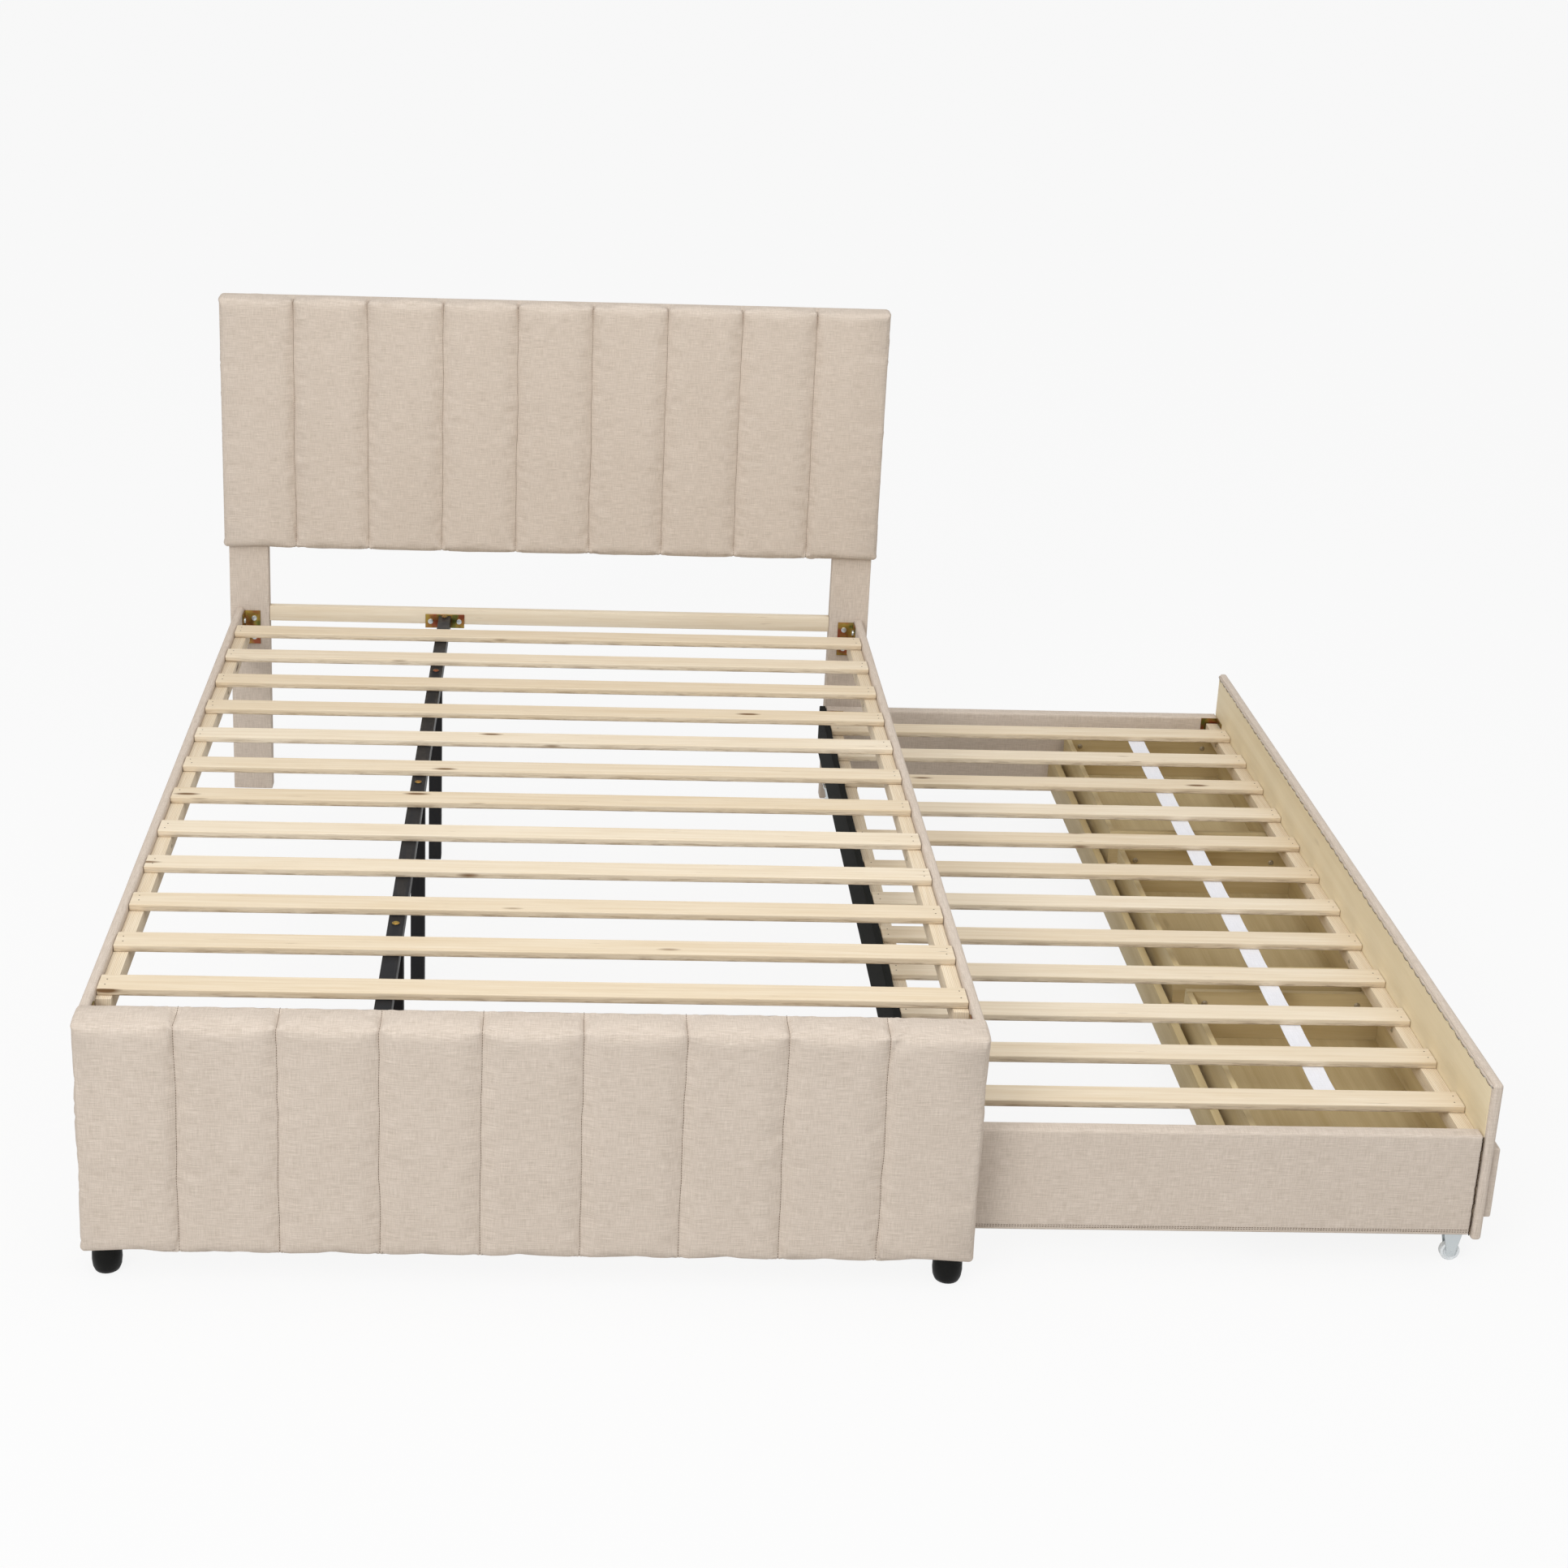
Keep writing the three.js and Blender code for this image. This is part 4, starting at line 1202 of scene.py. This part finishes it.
class TRUNDLE_BED_OT_slats(bpy.types.Operator):
    """Makes both decks of slats and the webbing strap under the trundle's slats"""
    bl_idname = "trundle_bed.slats"
    bl_label = "Slats"

    def execute(self, context):
        nodes = slat_nodes()
        first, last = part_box(nodes[0]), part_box(nodes[-1])
        centre = (first[0] + first[1]) / 2
        spans = first[1] - first[0]
        pitch = ((last[0] + last[1]) / 2 - centre)[Y] / (len(nodes) - 1)
        slat_row("main_slats", "bed_frame", centre, pitch, len(nodes), *spans, nodes, 2)

        low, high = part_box("trundle_slat_deck")
        width, thickness = spans[Y], spans[Z]
        pitch = (high[Y] - low[Y] - width) / (len(nodes) - 1)
        start = Vector(((low[X] + high[X]) / 2, low[Y] + width / 2, high[Z] - thickness / 2))
        slat_row("trundle_slats", "trundle", start, pitch, len(nodes), high[X] - low[X], width,
                 thickness, ["trundle_slat_deck"], 5)
        self.make_strap(low, high, width, pitch, high[Z] - thickness)
        return {"FINISHED"}

    def make_strap(self, low, high, width, pitch, underside):
        """A flat band from the first slat to the last, which hangs a little between slats."""
        strap_width, thickness, from_front, end_room = 40 * MM, 1.1 * MM, 237 * MM, 4 * MM
        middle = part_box("trundle_fascia")[0][X] - from_front
        row_length, most_stray = 8 * MM, 1.5 * MM
        start, end = low[Y] + end_room, high[Y] - end_room
        rows = round((end - start) / row_length)
        vertices = []
        for row in range(rows + 1):
            y = start + (end - start) * row / rows
            phase = ((y - low[Y] - width / 2) / pitch) % 1
            free = np.clip((0.5 - abs(phase - 0.5)) * pitch - width / 2, 0, None)
            share = min(1, free / (pitch / 2 - width / 2))
            top = underside - TOUCH - timber().strap_sag * math.sin(share * QUARTER)
            stray = most_stray * noise.noise(Vector((0, y * 3, 8)))
            for side, z in ((-1, top), (1, top), (1, top - thickness), (-1, top - thickness)):
                vertices.append((middle + stray + side * strap_width / 2, y, z))
        mesh = tube_mesh(vertices, 4)
        unwrap(mesh, Y)
        add_piece("slat_strap", mesh, "trundle", "webbing", smooth=False)


# ---- Timber, steel, feet and casters --------------------------------------------------------

class TRUNDLE_BED_OT_timber(bpy.types.Operator):
    """Makes the ledgers, the crossrail, the drawer beam and the drawer runners"""
    bl_idname = "trundle_bed.timber"
    bl_label = "Timber"

    def execute(self, context):
        radius = timber().edge_round
        for index, side in enumerate(SIDES):
            eased_piece(f"slat_ledger_{side}", "bed_frame", "pine", radius, "ledger", 0.6)
            eased_piece(f"trundle_ledger_{side}", "trundle", "pine", radius, "ledger",
                        0.4 + 0.2 * index)
        eased_piece("headboard_crossrail", "bed_frame", "pine", radius, tone=0.25)
        eased_piece("drawer_beam", "trundle", "plywood", radius, tone=0.6)
        for number in RUNNERS:
            eased_piece(f"drawer_runner_{number}", "trundle", "pine", radius, tone=0.5)
        return {"FINISHED"}


class TRUNDLE_BED_OT_steelwork(bpy.types.Operator):
    """Makes the centre beam, its legs, all brackets, the feet and the casters"""
    bl_idname = "trundle_bed.steelwork"
    bl_label = "Steelwork"

    def execute(self, context):
        for node in ("centre_beam", *(f"centre_leg_{number}" for number in LEGS)):
            eased_piece(node, "bed_frame", "black_steel", 1.6 * MM)
        for end in ENDS:
            mark_bolts(eased_piece(f"beam_bracket_{end}", "bed_frame", "yellow_zinc", 0.7 * MM),
                       end)
            for side in SIDES:
                mark_bolts(eased_piece(f"corner_bracket_{end}_{side}", "bed_frame",
                                       "yellow_zinc", 0.7 * MM), end, side)
                eased_piece(f"caster_bracket_{end}_{side}", "trundle", "bright_zinc", 0.5 * MM)
                eased_piece(f"caster_wheel_{end}_{side}", f"wheel_{end}_{side}", "white_nylon",
                            0.4 * MM, sharp=40)
        for side in SIDES:
            eased_piece(f"foot_{side}", "bed_frame", "black_plastic", 1 * MM, sharp=45)
        self.make_trundle_brackets()
        return {"FINISHED"}

    def make_trundle_brackets(self):
        """Plated angles in the two inner corners at the trundle's head, above the ledgers."""
        plate, leg, height = 2.2 * MM, 42 * MM, 30 * MM
        edge, step = 0.6 * MM, 20 * MM
        below_top, above_ledger = 2 * MM, 1 * MM
        low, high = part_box("trundle_head_board")
        top = high[Z] - below_top
        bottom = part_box("trundle_ledger_right")[1][Z] + above_ledger
        face = low[Y] - TOUCH
        for side, wall, towards in (("left", low[X], 1), ("right", high[X], -1)):
            corner = wall + towards * TOUCH
            across = sorted((corner, corner + towards * leg))
            thin = sorted((corner, corner + towards * plate))
            mesh = joined_mesh([
                rounded_board((across[0], face - plate, top - height), (across[1], face, top),
                              edge, step),
                rounded_board((thin[0], face - leg, bottom), (thin[1], face, top),
                              edge, step)])
            unwrap(mesh, X)
            add_piece(f"trundle_corner_bracket_{side}", mesh, "trundle", "yellow_zinc")


# ---- Fastenings and hems --------------------------------------------------------------------

class TRUNDLE_BED_OT_fastenings(bpy.types.Operator):
    """Makes the nails in the slats, the ledgers' screws, the hem's staples and hem stitches"""
    bl_idname = "trundle_bed.fastenings"
    bl_label = "Fastenings"

    def execute(self, context):
        self.nail_slats()
        self.bolt_beam()
        self.screw_ledgers()
        self.staple_hem()
        self.stitch_hems()
        return {"FINISHED"}

    def nail_slats(self):
        """Two nails in each end of every slat, none quite in line."""
        from_end, from_middle = (11 * MM, 17 * MM), (8 * MM, 14 * MM)
        main = [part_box(name) for name in slat_nodes()]
        low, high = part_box("trundle_slat_deck")
        spans = main[0][1] - main[0][0]
        pitch = (high[Y] - low[Y] - spans[Y]) / (len(main) - 1)
        trundle = [low[Y] + spans[Y] / 2 + pitch * index for index in range(len(main))]
        rng = np.random.default_rng(timber().seed + 9)
        rows = {
            "main_slat_nails": ("bed_frame", main[0][0][X], main[0][1][X], main[0][1][Z],
                                [(box[0][Y] + box[1][Y]) / 2 for box in main]),
            "trundle_slat_nails": ("trundle", low[X], high[X], high[Z], trundle),
        }
        for name, (body, left, right, top, middles) in rows.items():
            points = [(end + inward * rng.uniform(*from_end),
                       middle + side * rng.uniform(*from_middle), top)
                      for middle in middles for side in (-1, 1)
                      for end, inward in ((left, 1), (right, -1))]
            mesh = repeat(name, "Pieces at Points", nail_mesh(1.5 * MM), "nail", points, seed=4)
            unwrap(mesh, X)
            add_piece(name, mesh, body, "bright_zinc", material="nail")

    def bolt_beam(self):
        """Screws over each leg and at both ends of the centre beam."""
        end_room = 13 * MM
        low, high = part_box("centre_beam")
        legs = [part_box(f"centre_leg_{number}") for number in LEGS]
        along = [(leg[0][Y] + leg[1][Y]) / 2 for leg in legs]
        along += [low[Y] + end_room, high[Y] - end_room]
        points = [((low[X] + high[X]) / 2, y, high[Z]) for y in along]
        mesh = repeat("beam_bolts", "Pieces at Points", screw_mesh(5 * MM), "yellow_zinc", points,
                      seed=9)
        unwrap(mesh, X)
        add_piece("beam_bolts", mesh, "bed_frame", "yellow_zinc")

    def screw_ledgers(self):
        """A row of screws along the inner face of each ledger."""
        count, end_room = 7, 110 * MM
        for prefix, body in (("slat_ledger", "bed_frame"), ("trundle_ledger", "trundle")):
            for side, turn in (("left", QUARTER), ("right", -QUARTER)):
                low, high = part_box(f"{prefix}_{side}")
                face = high[X] if side == "left" else low[X]
                height = (low[Z] + high[Z]) / 2
                points = [(face, y, height)
                          for y in np.linspace(low[Y] + end_room, high[Y] - end_room, count)]
                name = f"{prefix}_screws_{side}"
                mesh = repeat(name, "Pieces at Points", screw_mesh(3.2 * MM), "screw", points,
                              facing=(0.0, turn, 0.0), seed=6)
                unwrap(mesh, Y)
                add_piece(name, mesh, body, "bright_zinc", material="screw")

    def staple_hem(self):
        """The staples that hold the folded edge on the long front's inside."""
        low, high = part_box("trundle_fascia")
        room = 8 * MM  # from the front's top and from both of its ends
        x, z = low[X] - 1.4 * MM, high[Z] - room
        path = [(x, low[Y] + room, z), (x, high[Y] - room, z)]
        mesh = repeat("front_hem_staples", "Pieces along Seam", capsule_mesh(10 * MM, 1.1 * MM),
                      "bright_zinc", path, [(0, 1)], pitch=STAPLE_PITCH,
                      turn_jitter=(0.1, 0.0, 0.0), seed=8)
        unwrap(mesh, Y)
        add_piece("front_hem_staples", mesh, "trundle", "bright_zinc")

    def stitch_hems(self):
        """Two rows of stitches along the foot of each end board, and at its corner seam dark
        thread that paints the shadow in the crack.
        """
        stitch, proud, let_in = sewing(), 0.2 * MM, 0.6 * MM
        end_room, most_stray = 8 * MM, 0.8 * MM
        for face, end in enumerate(ENDS):
            low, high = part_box(f"trundle_{end}_board")
            y, outward = ((low[Y], -1), (high[Y], 1))[face]
            y += outward * proud
            paths = []
            for height in (8.5 * MM, 12 * MM):
                paths.append([
                    (x, y, low[Z] + height
                     + most_stray * noise.noise(Vector((x * 9, face, height * 400))))
                    for x in np.linspace(low[X] + end_room, high[X] - end_room, 60)])
            thread_run(f"trundle_{end}_hem", paths, "trundle", X, stitch.stitch_length, 0.9 * MM,
                       stitch.stitch_pitch, (0.0, 0.08, 0.04), seed=5)
            x, y = high[X] - 0.4 * MM, y - outward * let_in
            path = [(x - 3.2 * MM * (0.5 + 0.5 * noise.noise(Vector((z * 70, face, 2)))), y, z)
                    for z in np.arange(low[Z] + 4 * MM, high[Z] - 3 * MM, 3 * MM)]
            # Painted shadow: dark thread along the crack where the end board meets the front
            # stands for the shade in it.
            thread_run(f"trundle_{end}_corner_seam", [path], "trundle", Z, 7.5 * MM, 2.1 * MM,
                       5.2 * MM, (0.45, 0.3, 0.4), seed=7, material="dark_thread")


# ---- Stage ----------------------------------------------------------------------------------

LAMPS = {  # where each stands, what it points at, and its width, in metres
    "overhead": ((0.2, -1.3, 3.8), (0, 0.8, 0.5), 4.0),
    "front": ((-3.8, -6.0, 4.6), (-0.1, 0.8, 0.6), 3.0),
}
FLOOR_REACH = 30
FLOOR_GLOW = 0.88  # how much of the floor's own shade gives way to white where it is seen


def seen_ray(tree):
    """1 for rays that come straight from the eye or off a gloss, and 0 for all others."""
    rays = add_node(tree, "ShaderNodeLightPath")
    return calc(tree, "MAXIMUM", rays.outputs["Is Camera Ray"], rays.outputs["Is Glossy Ray"])


class TRUNDLE_BED_OT_stage(bpy.types.Operator):
    """Sets the camera, the floor and the soft studio light"""
    bl_idname = "trundle_bed.stage"
    bl_label = "Stage"

    def execute(self, context):
        scene, setting = context.scene, context.scene.trundle_bed_stage
        scene.view_settings.view_transform = "Standard"
        camera = bpy.data.cameras.new("camera")
        camera.lens = setting.lens
        camera.sensor_width = 36
        camera.shift_x, camera.shift_y = setting.shift
        camera.clip_end = 100
        holder = in_scene("camera", camera)
        holder.location = setting.place
        holder.rotation_euler = Euler([math.radians(value) for value in setting.turn], "XYZ")
        scene.camera = holder
        self.make_floor()
        for name, (place, target, width) in LAMPS.items():
            self.make_light(f"{name}_lamp", getattr(setting, name), place, target, width)
        self.make_sky(scene, setting.sky)
        return {"FINISHED"}

    def make_floor(self):
        """A wide floor, white where it is seen and grey for the light that it gives back."""
        corners = [(FLOOR_REACH * x, FLOOR_REACH * y, 0)
                   for x, y in ((-1, -1), (1, -1), (1, 1), (-1, 1))]
        material = bpy.data.materials.new("floor")
        material.use_nodes = True
        tree = material.node_tree
        shader = tree.nodes["Principled BSDF"]
        shader.inputs["Base Color"].default_value = (*colours().floor, 1)
        shader.inputs["Roughness"].default_value = 0.9
        glow = add_node(tree, "ShaderNodeEmission")
        glow.inputs["Strength"].default_value = 1.0
        blend = add_node(tree, "ShaderNodeMixShader")
        tree.links.new(calc(tree, "MULTIPLY", seen_ray(tree), FLOOR_GLOW), blend.inputs["Fac"])
        tree.links.new(shader.outputs[0], blend.inputs[1])
        tree.links.new(glow.outputs[0], blend.inputs[2])
        tree.links.new(blend.outputs[0], tree.nodes["Material Output"].inputs["Surface"])
        mesh = mesh_from(corners, [(0, 1, 2, 3)])
        mesh.materials.append(material)
        floor = in_scene("floor", mesh)

    def make_light(self, name, power, place, target, width):
        lamp = bpy.data.lights.new(name, "AREA")
        lamp.energy, lamp.size = power, width
        holder = in_scene(name, lamp)
        holder.location = place
        towards = Vector(target) - Vector(place)
        holder.rotation_euler = towards.to_track_quat("-Z", "Y").to_euler()

    def make_sky(self, scene, strength):
        world = bpy.data.worlds.new("studio")
        world.use_nodes = True
        tree = world.node_tree
        backdrop = tree.nodes["Background"]
        backdrop.inputs["Color"].default_value = (1, 1, 1, 1)
        shown = between(tree, seen_ray(tree), 0, 1, strength, 1.0)
        tree.links.new(shown, backdrop.inputs["Strength"])
        scene.world = world


# ---- Panel and registration -----------------------------------------------------------------

OPERATORS = (
    TRUNDLE_BED_OT_stage, TRUNDLE_BED_OT_padded_boards, TRUNDLE_BED_OT_covered_boards,
    TRUNDLE_BED_OT_trundle_front, TRUNDLE_BED_OT_drawers, TRUNDLE_BED_OT_slats,
    TRUNDLE_BED_OT_timber, TRUNDLE_BED_OT_steelwork, TRUNDLE_BED_OT_fastenings,
)


class VIEW3D_PT_trundle_bed(bpy.types.Panel):
    """Lists the pieces of the bed and the sizes and colours that they take"""
    bl_label = "Trundle Bed"
    bl_idname = "VIEW3D_PT_trundle_bed"
    bl_space_type = "VIEW_3D"
    bl_region_type = "UI"
    bl_category = "Trundle Bed"

    def draw(self, context):
        for operator in OPERATORS:
            self.layout.operator(operator.bl_idname)
        for name, group in GROUPS.items():
            box = self.layout.box()
            for label in group.__annotations__:
                box.prop(getattr(context.scene, name), label)


CLASSES = (*GROUPS.values(), *OPERATORS, VIEW3D_PT_trundle_bed)


def register():
    for item in CLASSES:
        bpy.utils.register_class(item)
    for name, group in GROUPS.items():
        setattr(bpy.types.Scene, name, bpy.props.PointerProperty(type=group))


def unregister():
    for name in GROUPS:
        delattr(bpy.types.Scene, name)
    for item in reversed(CLASSES):
        bpy.utils.unregister_class(item)


def main():
    register()
    make_materials()
    for operator in OPERATORS:
        category, name = operator.bl_idname.split(".")
        getattr(getattr(bpy.ops, category), name)()
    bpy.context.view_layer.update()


if __name__ == "__main__":
    main()
